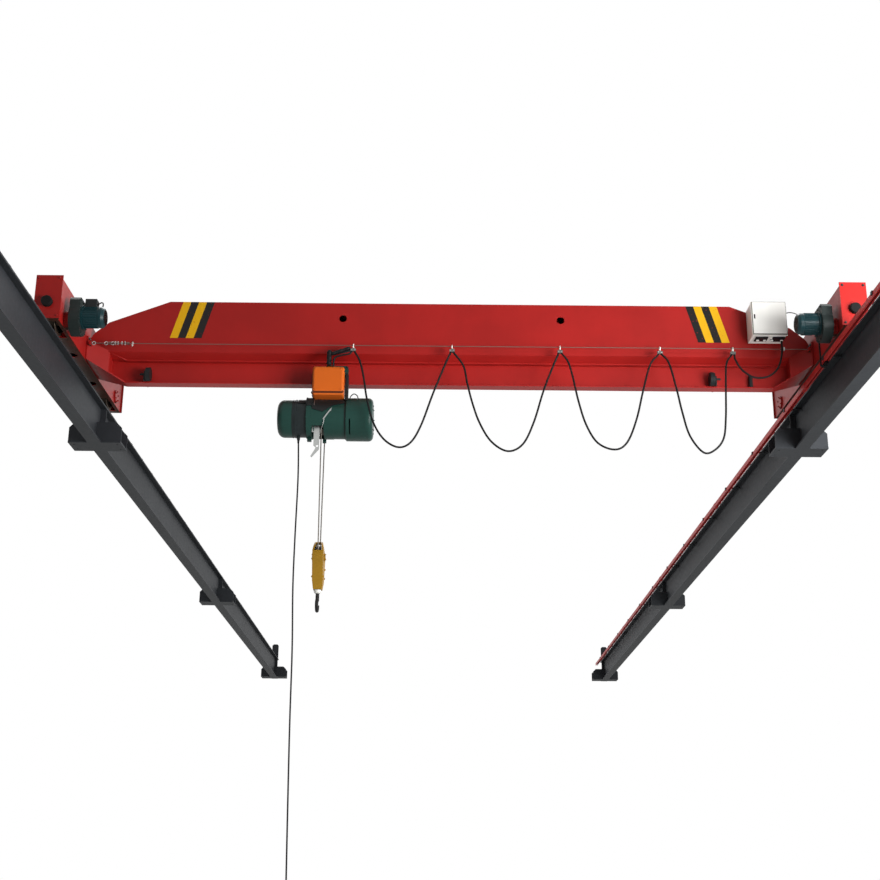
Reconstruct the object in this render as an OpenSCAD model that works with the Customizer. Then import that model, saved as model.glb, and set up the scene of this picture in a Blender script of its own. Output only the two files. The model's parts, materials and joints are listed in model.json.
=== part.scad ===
// Single-girder overhead travelling crane, with a wire-rope hoist that runs on the
// girder's lower flange, standing on three bays of steel runway.
// X runs across the span from the left runway to the right one, Y along the runway,
// Z up. The origin is the middle of the left runway beam's underside.

/* [Runway] */
// Distance between the two rails, centre to centre
span = 7500; // [6500:10:9000]
// Length of one runway bay
bay = 8500; // [7600:100:10000]
// Number of runway bays
bays = 3; // [2:1:6]
// Distance from the crane at rest back to the runway's first support
first_support = 7600; // [7000:100:8400]
// Height of a runway beam
beam_h = 440; // [380:5:520]
// Width of a runway beam's flanges
beam_w = 142; // [120:1:200]
// Thickness of a runway beam's flanges
beam_flange = 18; // [12:1:24]
// Thickness of a runway beam's web
beam_web = 11; // [8:1:16]
// Width of the square crane rail
rail_w = 50; // [40:1:52]
// Height of the square crane rail
rail_h = 50; // [40:1:60]
// Radius of the bolt holes in the beam's seats
seat_hole_r = 11; // [8:0.5:14]
// Distance between the seat bolts across a beam
seat_bolt_x = 460; // [400:5:480]
// Distance between the seat bolts along a beam
seat_bolt_y = 160; // [100:5:220]
// Width of the plates that spread a beam's load at a support
seat_w = 560; // [540:10:700]
// Length of a seat along the beam
seat_l = 300; // [280:10:360]
// Height of a seat's upright plates
seat_h = 230; // [200:10:300]
// Distance from a beam's end to the middle of its seat
seat_inset = 180; // [180:5:260]
// Thickness of the stiffener plates over a seat
stiffener_t = 12; // [8:1:20]

/* [Crane wheels] */
// Radius of a wheel's tread
wheel_r = 135; // [120:1:150]
// Height of a wheel's flanges over the tread
wheel_lip = 18; // [12:1:22]
// Width of the tread between the flanges
tread_w = 62; // [62:1:72]
// Thickness of a wheel's flange
lip_t = 14; // [10:1:18]
// Radius of a wheel's axle
axle_r = 30; // [24:1:36]
// Distance between the two wheels of one end carriage
wheelbase = 2100; // [1900:10:2150]

/* [End carriages] */
// Width of an end carriage
carriage_w = 220; // [200:5:260]
// Height of an end carriage
carriage_h = 420; // [380:5:460]
// Length of an end carriage without its buffers
carriage_l = 2650; // [2600:10:3000]
// Height of the carriage's underside over the rail
carriage_clear = 43; // [35:1:60]
// Thickness of the carriage's plates
carriage_t = 8; // [6:1:12]
// Length of a wheel pocket in the carriage's underside
pocket_l = 400; // [360:5:420]
// Radius of a round rubber buffer
buffer_r = 51; // [44:1:56]
// Length of a rubber buffer
buffer_l = 46; // [40:1:70]
// Radius of a wheel's bearing cap
cap_r = 72; // [60:1:84]

/* [Girder] */
// Height of the I-beam under the girder
ibeam_h = 250; // [220:5:280]
// Width of the I-beam's flanges
ibeam_w = 118; // [110:1:122]
// Thickness of the I-beam's flanges
ibeam_flange = 13; // [10:1:16]
// Thickness of the I-beam's web
ibeam_web = 10; // [8:1:12]
// Height of the I-beam's underside over the beams' underside
ibeam_z = 375; // [365:5:385]
// Width of the pressed trough over the I-beam
trough_w = 340; // [320:5:360]
// Height of the trough's side plates
trough_h = 555; // [520:5:600]
// Height of the sloped fold between trough and I-beam
fold_h = 40; // [30:1:50]
// Thickness of the trough's plate
trough_t = 8; // [6:1:12]
// Radius of the two lifting holes in each side plate
lift_hole_r = 39; // [30:1:45]
// Length of the girder's end pieces
end_l = 360; // [330:5:400]
// Width of an end piece at the carriage
end_w = 600; // [560:5:660]
// Distance from the carriage to the girder's full height
slope_l = 785; // [700:5:850]

/* [Drives] */
// Length of the bearing housing between carriage and gear case
gear_off = 56; // [50:1:64]
// Thickness of a drive's gear case
gear_t = 98; // [90:1:110]
// Radius of the gear case round the axle
gear_low_r = 152; // [140:1:160]
// Half width of the gear case at its top
gear_top_half = 134; // [120:1:140]
// Height of the motor's axis over the wheel's axle
motor_rise = 33; // [25:1:45]
// Radius of a drive motor
motor_r = 97; // [90:1:105]
// Length of a drive motor
motor_l = 216; // [200:1:240]

/* [Control panel] */
// Width of the control panel
panel_w = 350; // [320:5:380]
// Height of the control panel
panel_h = 360; // [330:5:390]
// Depth of the control panel
panel_d = 240; // [200:5:260]
// Distance of the panel's middle from the right rail
panel_in = 565; // [550:5:620]

/* [Festoon] */
// Radius of the taut carrier wire
wire_r = 4; // [3:0.5:6]
// Distance of the carrier wire in front of the girder's middle
wire_y = 300; // [290:5:330]
// Height of the carrier wire
wire_z = 704; // [690:1:715]
// Inner radius of a carrier's ring
ring_r = 17; // [12:0.5:20]
// Radius of a carrier ring's own round section
ring_t = 6; // [4:0.5:8]
// Length of a carrier's cable clamp
clamp_l = 52; // [48:1:60]
// Radius of the festoon cable
cable_r = 10; // [8:0.5:10]

/* [Hoist] */
// Distance of the trolley's middle from the left rail
trolley_x = 2521; // [2514:1:2528]
// Height of the hoist's axis over the beams' underside
hoist_z = 22; // [15:1:30]
// Radius of the hoist motor
hoist_motor_r = 190; // [180:1:200]
// Radius of the drum's housing
housing_r = 200; // [195:1:210]
// Thickness of the housing's shell
housing_t = 8; // [5:1:10]
// Radius of the gearbox at the right end
gearbox_r = 218; // [210:1:225]
// Length of the gearbox
gearbox_l = 270; // [250:1:290]
// Radius of the rope drum
drum_r = 125; // [115:1:135]
// Radius of the drum's shaft
drum_shaft_r = 30; // [25:1:35]
// Radius of a trolley wheel's tread
trolley_wheel_r = 55; // [50:1:60]
// Distance between the trolley's two wheels on one side
trolley_base = 190; // [180:5:200]
// Half length of a trolley side plate
side_half = 162; // [160:1:170]
// Thickness of a trolley side plate
side_t = 14; // [10:1:18]

/* [Hook block] */
// Radius of the hoist rope
rope_r = 6; // [5:0.5:7]
// Radius of the rope sheave, at the bottom of its groove
sheave_r = 110; // [100:1:120]
// Thickness of the hook block
block_t = 104; // [96:1:110]
// Height of the sheave's axis
sheave_z = -1400; // [-1420:1:-1380]
// Height of the hook's seat in the block
hook_top_z = -1720; // [-1740:1:-1710]
// Radius of the hook's shank
shank_r = 18; // [16:1:22]
// Radius of the hook's opening
hook_in_r = 34; // [30:1:38]
// Thickness of the hook
hook_t = 34; // [28:1:38]

/* [Hidden] */
$fn = 48;

// Clearances
run_gap = 0.3;
bore_gap = 0.05;

// Heights that follow from the pieces below them
rail_z = beam_h;
rail_top = beam_h + rail_h;
axle_z = rail_top + run_gap + wheel_r;
carriage_z = rail_top + carriage_clear;
carriage_top = carriage_z + carriage_h;
ibeam_top = ibeam_z + ibeam_h;
fold_z = ibeam_top + fold_h;
trough_top = fold_z + trough_h;

// Places along the span
inner_l = carriage_w / 2;
inner_r = span - carriage_w / 2;
runway_y0 = -first_support - seat_inset;
runway_y1 = runway_y0 + bays * bay + 2 * seat_inset;
support_y = [for (i = [0 : bays]) i * bay - first_support];
end_face_l = inner_l + end_l;
end_face_r = inner_r - end_l;
panel_x = span - panel_in;
panel_z = 802;
panel_back = trough_w / 2 + 20;
lift_hole_z = trough_top - 170;
lift_hole_x = [2660, 4875];

// Wheels along the runway
wheel_y = wheelbase / 2;

// Festoon places at rest
tow_x = 2782;
post_x = 2548;
end_clamp_x = span - 920;
carrier_share = [988, 2068, 3068] / 3798;
carrier_x = [for (k = carrier_share) tow_x + k * (end_clamp_x - tow_x)];
ring_z = wire_z + wire_r + run_gap - ring_r;
clamp_top = ring_z - ring_r - ring_t;
clamp_h = 28;
clamp_half = 13;
clamp_z = clamp_top - clamp_h;

// Hoist places along the span
motor_x0 = 2030;
motor_x1 = 2324;
flange_x1 = 2374;
window_x1 = 2465;
slot_x1 = 2585;
gearbox_x0 = 2713;
gearbox_x1 = gearbox_x0 + gearbox_l;
drum_x0 = flange_x1 + 6;
drum_x1 = gearbox_x0 - 6;
block_x = 2486;

// Colours
crane_red = "#9c1c1c";
steel_dark = "#2c2f33";
motor_teal = "#15484c";
hoist_green = "#17392c";
panel_cream = "#ece8da";
box_orange = "#e06a14";
block_yellow = "#e9b41e";
duct_red = "#a82a24";
cable_black = "#161616";
steel_bright = "#8d8f8d";
ring_white = "#eeeeea";

// A bar along X, from x0 to x1, of a profile drawn in Y and Z
module along_x(x0, x1) {
    translate([x0, 0, 0]) rotate([90, 0, 90]) linear_extrude(x1 - x0) children();
}

// A plate across Y, from y0 to y1, of an outline drawn in X and Z
module across_y(y0, y1) {
    translate([0, y1, 0]) rotate([90, 0, 0]) linear_extrude(y1 - y0) children();
}

// A round bar along X
module rod_x(x0, x1, r) {
    translate([x0, 0, 0]) rotate([0, 90, 0]) cylinder(h = x1 - x0, r = r);
}

// A round bar along Y
module rod_y(y0, y1, r) {
    translate([0, y0, 0]) rotate([-90, 0, 0]) cylinder(h = y1 - y0, r = r);
}

// A box from its lowest corner to its highest
module block_between(low, high) {
    translate(low) cube(high - low);
}

// The cross-section of an I-beam, standing on zero
module i_section(h, w, flange, web) {
    union() {
        translate([-w / 2, 0]) square([w, flange]);
        translate([-w / 2, h - flange]) square([w, flange]);
        translate([-web / 2, 0]) square([web, h]);
    }
}

// A cable swept along its own points. Its flat ends face the two ways given in ends
UP = [0, 0, 1];
DOWN = [0, 0, -1];
function unit(v) = v / norm(v);
function path_dir(p, i, ends) =
    i == 0 ? ends[0]
    : i == len(p) - 1 ? ends[1]
    : unit(unit(p[i + 1] - p[i]) + unit(p[i] - p[i - 1]));
function ring_at(c, d, side, r, sides) =
    let (u = unit(side - d * (side * d)), w = cross(d, u))
    [for (k = [0 : sides - 1]) c + r * (cos(360 * k / sides) * u + sin(360 * k / sides) * w)];
module swept_cable(p, r, side, ends, sides = 8) {
    n = len(p);
    rings = [for (i = [0 : n - 1]) each ring_at(p[i], path_dir(p, i, ends), side, r, sides)];
    caps = [[for (k = [0 : sides - 1]) k],
        [for (k = [sides - 1 : -1 : 0]) (n - 1) * sides + k]];
    walls = [for (i = [0 : n - 2], k = [0 : sides - 1])
        let (a = i * sides + k, b = i * sides + (k + 1) % sides)
        [a, a + sides, b + sides, b]];
    polyhedron(points = rings, faces = concat(caps, walls), convexity = 10);
}

// Cable routes at rest, chosen along the hanging cables. A loop's X runs from the tow clamp
// and stretches with the distance to the last clamp
hung_reach = 3798;
stretch = (end_clamp_x - tow_x) / hung_reach;
function hung(route) = [for (p = route) [tow_x + p[0] * stretch, -wire_y, p[1]]];
function moved(route, x) = [for (p = route) p + [x, 0, 0]];
loop_1 = hung([[14, 640], [68, 540], [108, 380], [148, 140], [218, -110], [327, -284], [468, -362],
    [588, -310], [688, -130], [798, 190], [908, 480], [974, 640]]);
loop_2 = hung([[1002, 640], [1102, 504], [1140, 324], [1188, 124], [1262, -95], [1378, -290],
    [1539, -386], [1688, -310], [1798, -80], [1891, 225], [1978, 460], [2054, 640]]);
loop_3 = hung([[2082, 640], [2148, 545], [2193, 370], [2238, 140], [2308, -110], [2418, -300],
    [2584, -367], [2708, -290], [2808, -50], [2883, 245], [2963, 520], [3054, 640]]);
loop_4 = hung([[3082, 640], [3148, 530], [3210, 259], [3254, 20], [3318, -230], [3443, -400],
    [3558, -370], [3648, -250], [3681, -31], [3698, 250], [3718, 520], [3784, 640]]);
panel_run = moved([[14, -300, 640], [20, -300, 590], [80, -300, 480], [200, -300, 400],
    [340, -306, 410], [440, -318, 500], [484, -328, 650], [490, -330, 779]], end_clamp_x);
motor_run = moved([[169.3, -320, 1080], [225, -400, 1060], [247, -560, 970], [235, -740, 860],
    [211, -860, 790], [201, -920, 740], [201, -928, 705]], panel_x);
trolley_run = [[2768, -300, 640], [2746, -304, 612], [2700, -306, 602], [2640, -306, 588],
    [2604, -304, 570], [2590, -296, 540], [2588, -282, 512], [2588, -270, 488.3]];
gearbox_run = [[2754, -150, 183.5], [2760, -150, 214], [2792, -150, 242], [2826, -150, 222],
    [2836, -150, 183.5]];
pendant_run = [[2240, 0, -188.3], [2252, 0, -600], [2246, 0, -1200], [2246, 0, -1700],
    [2264, 0, -2300], [2270, 0, -3000], [2284, 0, -3800], [2298, 0, -4500]];
pendant_r = 8;

// Runway

seat_corner = 60;
stiffener_in = 4;
// One runway beam with its seats, on its own middle line
module runway_beam() {
    difference() {
        union() {
            translate([0, runway_y1, 0]) rotate([90, 0, 0]) linear_extrude(runway_y1 - runway_y0)
                i_section(beam_h, beam_w, beam_flange, beam_web);
            for (y = support_y, s = [0, 1]) mirror([s, 0, 0])
                block_between([beam_web / 2 - 1, y - stiffener_t / 2, beam_flange - 1],
                    [beam_w / 2 - stiffener_in, y + stiffener_t / 2, beam_h - beam_flange + 1]);
            for (y = support_y) {
                block_between([-seat_w / 2, y - seat_l / 2, 0],
                    [seat_w / 2, y + seat_l / 2, beam_flange]);
                for (s = [-1, 1]) translate([0, y + s * (seat_l / 2 - stiffener_t), 0])
                    across_y(-stiffener_t / 2, stiffener_t / 2)
                        polygon([[-seat_w / 2, 0], [seat_w / 2, 0], [seat_w / 2, seat_h - seat_corner],
                            [seat_w / 2 - seat_corner, seat_h], [seat_corner - seat_w / 2, seat_h],
                            [-seat_w / 2, seat_h - seat_corner]]);
            }
        }
        for (y0 = support_y, x = [-1, 1], y = [-1, 1])
            translate([x * seat_bolt_x / 2, y0 + y * seat_bolt_y / 2, -1])
                cylinder(h = beam_flange + 2, r = seat_hole_r);
    }
}

module runway_beam_left() {
    color(steel_dark) runway_beam();
}

module runway_beam_right() {
    color(steel_dark) translate([span, 0, 0]) runway_beam();
}

rail_round = 6;
stop_in = 160;
rail_end = stop_in + 10;
module crane_rails() {
    color(steel_bright) for (x = [0, span])
        translate([x, runway_y1 - rail_end, rail_z]) rotate([90, 0, 0])
            linear_extrude(runway_y1 - runway_y0 - 2 * rail_end)
            polygon([[-rail_w / 2, 0], [rail_w / 2, 0], [rail_w / 2, rail_h - rail_round],
                [rail_w / 2 - rail_round, rail_h], [rail_round - rail_w / 2, rail_h],
                [-rail_w / 2, rail_h - rail_round]]);
}

// End stops that stand on the beams' ends, at the height of the crane's buffers
stop_t = 20;
stop_corner = 30;
stop_over = 12;
gusset_l = 130;
gusset_edge = 40;
module rail_stop() {
    top = buffer_z + buffer_r + stop_over;
    half = beam_w / 2;
    union() {
        across_y(-stop_t, 0) polygon([[-half, beam_h], [half, beam_h], [half, top - stop_corner],
            [half - stop_corner, top], [stop_corner - half, top], [-half, top - stop_corner]]);
        translate([-stiffener_t / 2, 0, 0]) rotate([90, 0, 90]) linear_extrude(stiffener_t)
            polygon([[-gusset_l, beam_h], [1 - stop_t, beam_h], [1 - stop_t, top - gusset_edge],
                [-gusset_edge, top - gusset_edge], [-gusset_l, beam_h + gusset_edge]]);
    }
}

module rail_stops() {
    color(steel_dark) for (x = [0, span]) {
        translate([x, runway_y0 + stop_in, 0]) rail_stop();
        translate([x, runway_y1 - stop_in, 0]) mirror([0, 1, 0]) rail_stop();
    }
}

// Enclosed conductor duct along the right runway's inner side, on arms from the beam
duct_w = 42;
duct_h = 50;
duct_in = 167;
duct_slot = 14;
duct_t = 4;
duct_z = 348;
duct_in_from_end = 60;
hanger_t = 8;
hanger_w = 40;
hanger_drop = 24;
hanger_pitch = 1500;
hanger_n = floor((runway_y1 - runway_y0) / hanger_pitch);
duct_x = span - duct_in;
duct_x0 = duct_x - duct_w / 2;
duct_x1 = duct_x + duct_w / 2;
duct_top = duct_z + duct_h;
module conductor_rail() {
    y0 = runway_y0 + duct_in_from_end;
    y1 = runway_y1 - duct_in_from_end;
    color(duct_red) difference() {
        block_between([duct_x0, y0, duct_z], [duct_x1, y1, duct_top]);
        block_between([duct_x0 + duct_t, y0 - 1, duct_z + duct_t],
            [duct_x1 - duct_t, y1 + 1, duct_top - duct_t]);
        block_between([duct_x - duct_slot / 2, y0 - 1, duct_z - 1],
            [duct_x + duct_slot / 2, y1 + 1, duct_z + duct_t + 1]);
    }
}

module duct_hangers() {
    half = hanger_w / 2;
    mid = (runway_y0 + runway_y1) / 2;
    color(steel_dark) for (i = [0 : hanger_n - 1])
        translate([0, mid + (i - (hanger_n - 1) / 2) * hanger_pitch, 0]) union() {
            block_between([duct_x0, -half, duct_top], [span - beam_web / 2, half, duct_top + hanger_t]);
            block_between([duct_x0 - hanger_t, -half, duct_top - hanger_drop],
                [duct_x0, half, duct_top + hanger_t]);
        }
}

// Girder

module trough_outline() {
    half = trough_w / 2;
    polygon([[-ibeam_w / 2, ibeam_top], [-half, fold_z], [-half, trough_top],
        [half, trough_top], [half, fold_z], [ibeam_w / 2, ibeam_top]]);
}

module trough_hollow() {
    half = trough_w / 2 - trough_t;
    lip = ibeam_w / 2 - 2 * trough_t;
    polygon([[-lip, ibeam_top - 1], [-half, fold_z + trough_t / 2], [-half, trough_top - trough_t],
        [half, trough_top - trough_t], [half, fold_z + trough_t / 2], [lip, ibeam_top - 1]]);
}

// The girder seen from the front: level on top, sloping down to both carriages
end_low = 420;
end_nose = 371;
end_shoulder = 345;
end_mid = 235;
nose_in = 27;
shoulder_in = 50;
mid_in = 180;
module girder_front() {
    polygon([[inner_l, 0], [inner_l, trough_top - end_low], [inner_l + nose_in, trough_top - end_nose],
        [inner_l + shoulder_in, trough_top - end_shoulder], [inner_l + mid_in, trough_top - end_mid],
        [inner_l + slope_l, trough_top], [inner_r - slope_l, trough_top],
        [inner_r - mid_in, trough_top - end_mid], [inner_r - shoulder_in, trough_top - end_shoulder],
        [inner_r - nose_in, trough_top - end_nose], [inner_r, trough_top - end_low], [inner_r, 0]]);
}

module girder_box() {
    color(crane_red) difference() {
        intersection() {
            along_x(end_face_l, end_face_r) trough_outline();
            across_y(-trough_w, trough_w) girder_front();
        }
        intersection() {
            along_x(end_face_l - 1, end_face_r + 1) trough_hollow();
            translate([0, 0, -trough_t]) across_y(-trough_w, trough_w) girder_front();
        }
        for (x = lift_hole_x) translate([x, 0, lift_hole_z]) rod_y(-trough_w, trough_w, lift_hole_r);
    }
}

module girder_i_beam() {
    color(crane_red) translate([0, 0, ibeam_z]) along_x(end_face_l, end_face_r)
        i_section(ibeam_h, ibeam_w, ibeam_flange, ibeam_web);
}

// One end piece: the trough run on to the carriage, and a wedge that widens below it
end_plate_t = 14;
end_plate_over = 40;
end_under = 12;
wing_top = 200;
recess_l = 150;
module girder_end() {
    x0 = inner_l;
    x1 = end_face_l;
    low = carriage_z + end_under;
    half = end_w / 2;
    recess_x = x1 - recess_l;
    under = ibeam_z + (low - ibeam_z) * recess_l / end_l + ibeam_flange;
    over = ibeam_top + (low + wing_top - ibeam_top) * recess_l / end_l - ibeam_flange;
    union() {
        intersection() {
            along_x(x0, x1) trough_outline();
            across_y(-trough_w, trough_w) girder_front();
        }
        difference() {
            intersection() {
                translate([0, 0, ibeam_z]) linear_extrude(trough_top - ibeam_z)
                    polygon([[x0, -half], [x1, -ibeam_w / 2], [x1, ibeam_w / 2], [x0, half]]);
                across_y(-end_w, end_w)
                    polygon([[x0, low], [x1, ibeam_z], [x1, ibeam_top], [x0, low + wing_top]]);
            }
            for (s = [0, 1]) mirror([0, s, 0]) across_y(ibeam_web / 2, end_w)
                polygon([[recess_x, under], [x1 + 1, ibeam_z + ibeam_flange],
                    [x1 + 1, ibeam_top - ibeam_flange], [recess_x, over]]);
        }
        block_between([x0, -half, low], [x0 + end_plate_t, half, low + wing_top + end_plate_over]);
    }
}

module girder_end_left() {
    color(crane_red) girder_end();
}

module girder_end_right() {
    color(crane_red) translate([span, 0, 0]) mirror([1, 0, 0]) girder_end();
}

// End carriages

bearing_l = 44;
end_cover_t = 12;
end_cover_over = 15;
hatch_r = 60;
hatch_y = 400;
pocket_w = 150;
cap_t = 16;
bearing_r = cap_r - 10;
housing_over = 18;
// One end carriage about its rail's line, with the girder on its +X side
module end_carriage() {
    half = carriage_w / 2;
    inside = half - carriage_t;
    difference() {
        union() {
            difference() {
                block_between([-half, -carriage_l / 2, carriage_z], [half, carriage_l / 2, carriage_top]);
                block_between([-inside, -carriage_l / 2 + carriage_t, carriage_z + carriage_t],
                    [inside, carriage_l / 2 - carriage_t, carriage_top - carriage_t]);
            }
            for (s = [-1, 1]) translate([0, s * (carriage_l - end_cover_t) / 2, 0])
                block_between([-half - end_cover_over, -end_cover_t / 2, carriage_z],
                    [half + end_cover_over, end_cover_t / 2, carriage_top + end_cover_over]);
            for (s = [-1, 1]) {
                translate([0, s * (wheel_y - pocket_l / 2 - carriage_t) - carriage_t / 2, 0])
                    block_between([-inside - 1, 0, carriage_z + 1], [inside + 1, carriage_t, carriage_top - 1]);
                for (x = [-1, 1]) translate([x * (inside - bearing_l / 2), s * wheel_y, axle_z])
                    rod_x(-bearing_l / 2 - 1, bearing_l / 2 + 1, bearing_r);
                translate([-half, s * wheel_y, axle_z]) rod_x(-cap_t, 1, cap_r);
            }
            translate([half, wheel_y, axle_z]) rod_x(-1, cap_t, cap_r);
            translate([half, -wheel_y, axle_z]) rod_x(-1, gear_off, cap_r + housing_over);
        }
        for (s = [-1, 1]) {
            translate([0, s * wheel_y, 0])
                block_between([-pocket_w / 2, -pocket_l / 2, carriage_z - 1],
                    [pocket_w / 2, pocket_l / 2, carriage_z + carriage_t + 1]);
            translate([0, s * wheel_y, axle_z]) rod_x(-half - 1, half + 1, axle_r + bore_gap);
            translate([0, s * hatch_y, carriage_z - 1]) cylinder(h = carriage_t + 2, r = hatch_r);
        }
    }
}

module end_carriage_left() {
    color(crane_red) end_carriage();
}

module end_carriage_right() {
    color(crane_red) translate([span, 0, 0]) mirror([1, 0, 0]) end_carriage();
}

buffer_z = carriage_top - 258;
module carriage_buffers() {
    edge = 6;
    color(cable_black) for (x = [0, span], s = [0, 1]) mirror([0, s, 0])
        translate([x, -carriage_l / 2, buffer_z]) rotate([90, 0, 0]) rotate_extrude($fn = 48)
            polygon([[0, 0], [buffer_r, 0], [buffer_r, buffer_l - edge],
                [buffer_r - edge, buffer_l], [0, buffer_l]]);
}

// One wheel with its axle, about its own middle
module crane_wheel() {
    half = tread_w / 2;
    rim = wheel_r + wheel_lip;
    axle_half = carriage_w / 2 - 2;
    color(steel_bright) rotate([0, 90, 0]) rotate_extrude($fn = 72)
        polygon([[0, -axle_half], [axle_r, -axle_half], [axle_r, -half - lip_t - 1],
            [axle_r + 18, -half - lip_t - 1], [axle_r + 22, -half + 4], [wheel_r - 22, -half + 4],
            [wheel_r - 14, -half - lip_t], [rim - 4, -half - lip_t], [rim, -half - lip_t + 5],
            [rim, -half - 4], [wheel_r, -half], [wheel_r, half], [rim, half + 4],
            [rim, half + lip_t - 5], [rim - 4, half + lip_t], [wheel_r - 14, half + lip_t],
            [wheel_r - 22, half - 4], [axle_r + 22, half - 4], [axle_r + 18, half + lip_t + 1],
            [axle_r, half + lip_t + 1], [axle_r, axle_half], [0, axle_half]]);
}

module wheel_front_left() {
    translate([0, -wheel_y, axle_z]) crane_wheel();
}

module wheel_rear_left() {
    translate([0, wheel_y, axle_z]) crane_wheel();
}

module wheel_front_right() {
    translate([span, -wheel_y, axle_z]) crane_wheel();
}

module wheel_rear_right() {
    translate([span, wheel_y, axle_z]) crane_wheel();
}

// Drives on the inner side of both front wheels

gear_x0 = inner_l + gear_off;
gear_x1 = gear_x0 + gear_t;
gear_corner = 34;
gear_head = 196;
module drive_gearbox() {
    top = axle_z + gear_head;
    along_x(gear_x0, gear_x1) union() {
        translate([-wheel_y, axle_z]) circle(r = gear_low_r, $fn = 64);
        polygon([[-wheel_y - gear_top_half, axle_z], [-wheel_y - gear_top_half, top - gear_corner],
            [-wheel_y - gear_top_half + gear_corner, top], [-wheel_y + gear_top_half - gear_corner, top],
            [-wheel_y + gear_top_half, top - gear_corner], [-wheel_y + gear_top_half, axle_z]]);
    }
}

// A drive motor with its mounting ring, cowl and a terminal box turned by an angle
cowl_l = 58;
cowl_over = 4;
cowl_edge = 26;
cowl_face_r = motor_r - 22;
mount_ring = 16;
terminal = [108, 92, 76];
terminal_x = 24;
terminal_sink = 14;
module drive_motor(box_turn) {
    cowl_r = motor_r + cowl_over;
    translate([gear_x1, -wheel_y, axle_z + motor_rise]) union() {
        rotate([0, 90, 0]) rotate_extrude($fn = 64)
            polygon([[0, 0], [motor_r + mount_ring, 0], [motor_r + mount_ring, mount_ring],
                [motor_r, mount_ring], [motor_r, motor_l - cowl_l],
                [cowl_r, motor_l - cowl_l + cowl_over], [cowl_r, motor_l - cowl_edge],
                [cowl_face_r + 10, motor_l - 4], [cowl_face_r, motor_l], [0, motor_l]]);
        rotate([box_turn, 0, 0])
            block_between([terminal_x, -terminal[1] / 2, motor_r - terminal_sink],
                [terminal_x + terminal[0], terminal[1] / 2, motor_r + terminal[2]]);
    }
}

module drive_gearboxes() {
    color(steel_dark) {
        drive_gearbox();
        translate([span, 0, 0]) mirror([1, 0, 0]) drive_gearbox();
    }
}

module drive_motors() {
    color(motor_teal) {
        drive_motor(0);
        translate([span, 0, 0]) mirror([1, 0, 0]) drive_motor(-90);
    }
}

// Control panel on the girder's right end

panel_lip = 14;
gland_l = 22;
gland_x = [panel_x - 105, panel_x - 35, panel_x + 35, panel_x + 135];
gland_y = -panel_back - 140;
module control_panel() {
    x0 = panel_x - panel_w / 2;
    color(panel_cream) union() {
        block_between([x0 + 6, -panel_back - panel_d + panel_lip, panel_z + 6],
            [x0 + panel_w - 6, -panel_back, panel_z + panel_h - 6]);
        block_between([x0, -panel_back - panel_d, panel_z],
            [x0 + panel_w, -panel_back - panel_d + panel_lip + 1, panel_z + panel_h]);
        for (x = gland_x) translate([x, gland_y, panel_z - gland_l]) cylinder(h = gland_l + 8, r = 15);
    }
}

panel_arm_x = [panel_x - 100, panel_x + 60];
panel_arm_w = 40;
panel_arm_z = [panel_z + 28, panel_z + 200];
module panel_brackets() {
    color(crane_red) for (x = panel_arm_x)
        block_between([x, -panel_back, panel_arm_z[0]], [x + panel_arm_w, -trough_w / 2, panel_arm_z[1]]);
}

// Trolley stops on the girder's lower beam

stop_x = [706, span - 1097];
hard_stop_x = span - 695;
stop_l = 46;
stop_r = 70;
stop_y = 79;
stop_z = ibeam_z + ibeam_flange + stop_r + 2;
stop_plate = 14;
stop_plate_out = stop_y + 24;
stop_plate_top = stop_z + 26;
stop_bolt_l = 86;
stop_bolt_r = 11;
hard_stop_half = 16;
hard_stop_h = 125;
// A pair of rubber stops, in front of the web and behind it, for a trolley on their -X side
module rubber_stop() {
    z0 = ibeam_z + ibeam_flange;
    plate_x = stop_l / 2 + stop_plate;
    for (s = [0, 1]) mirror([0, s, 0]) {
        translate([0, stop_y, stop_z]) rod_x(-stop_l / 2, stop_l / 2, stop_r);
        translate([0, stop_y, stop_z]) rod_x(0, stop_bolt_l, stop_bolt_r);
        block_between([plate_x - stop_plate / 2, ibeam_web / 2, z0],
            [plate_x + stop_plate / 2, stop_plate_out, stop_plate_top]);
    }
}

module trolley_stops() {
    z0 = ibeam_z + ibeam_flange;
    color(cable_black) union() {
        translate([stop_x[0], 0, 0]) mirror([1, 0, 0]) rubber_stop();
        translate([stop_x[1], 0, 0]) rubber_stop();
        for (s = [0, 1]) mirror([0, s, 0])
            block_between([hard_stop_x - hard_stop_half, ibeam_web / 2, z0],
                [hard_stop_x + hard_stop_half, ibeam_w / 2 - 1, z0 + hard_stop_h]);
    }
}

// Festoon

bracket_x = 150;
function flare_y(x) = ibeam_w / 2 + (end_w - ibeam_w) / 2 * (end_face_l - x) / end_l;

turn_x = 330;
turn_l = 210;
turn_half = 10;
turn_end_l = 24;
turn_end_r = 15;
module festoon_wire() {
    color(steel_bright) translate([0, -wire_y, wire_z]) union() {
        rod_x(bracket_x + 10, turn_x + 20, wire_r);
        rod_x(turn_x + turn_l - 20, span - bracket_x - 10, wire_r);
        for (s = [-1, 1]) translate([turn_x, s * turn_half, 0]) rod_x(4, turn_l - 4, 4);
        rod_x(turn_x, turn_x + turn_end_l, turn_end_r);
        rod_x(turn_x + turn_l - turn_end_l, turn_x + turn_l, turn_end_r);
    }
}

eye_plate_h = 44;
eye_plate_out = wire_y + 24;
module wire_brackets() {
    x0 = bracket_x - 10;
    x1 = bracket_x + 10;
    color(crane_red) for (m = [0, 1])
        translate([m * span, 0, wire_z - eye_plate_h / 2]) mirror([m, 0, 0]) linear_extrude(eye_plate_h)
            polygon([[x0, -eye_plate_out], [x1, -eye_plate_out], [x1, -flare_y(x1) - run_gap],
                [x0, -flare_y(x0) - run_gap]]);
}

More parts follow.
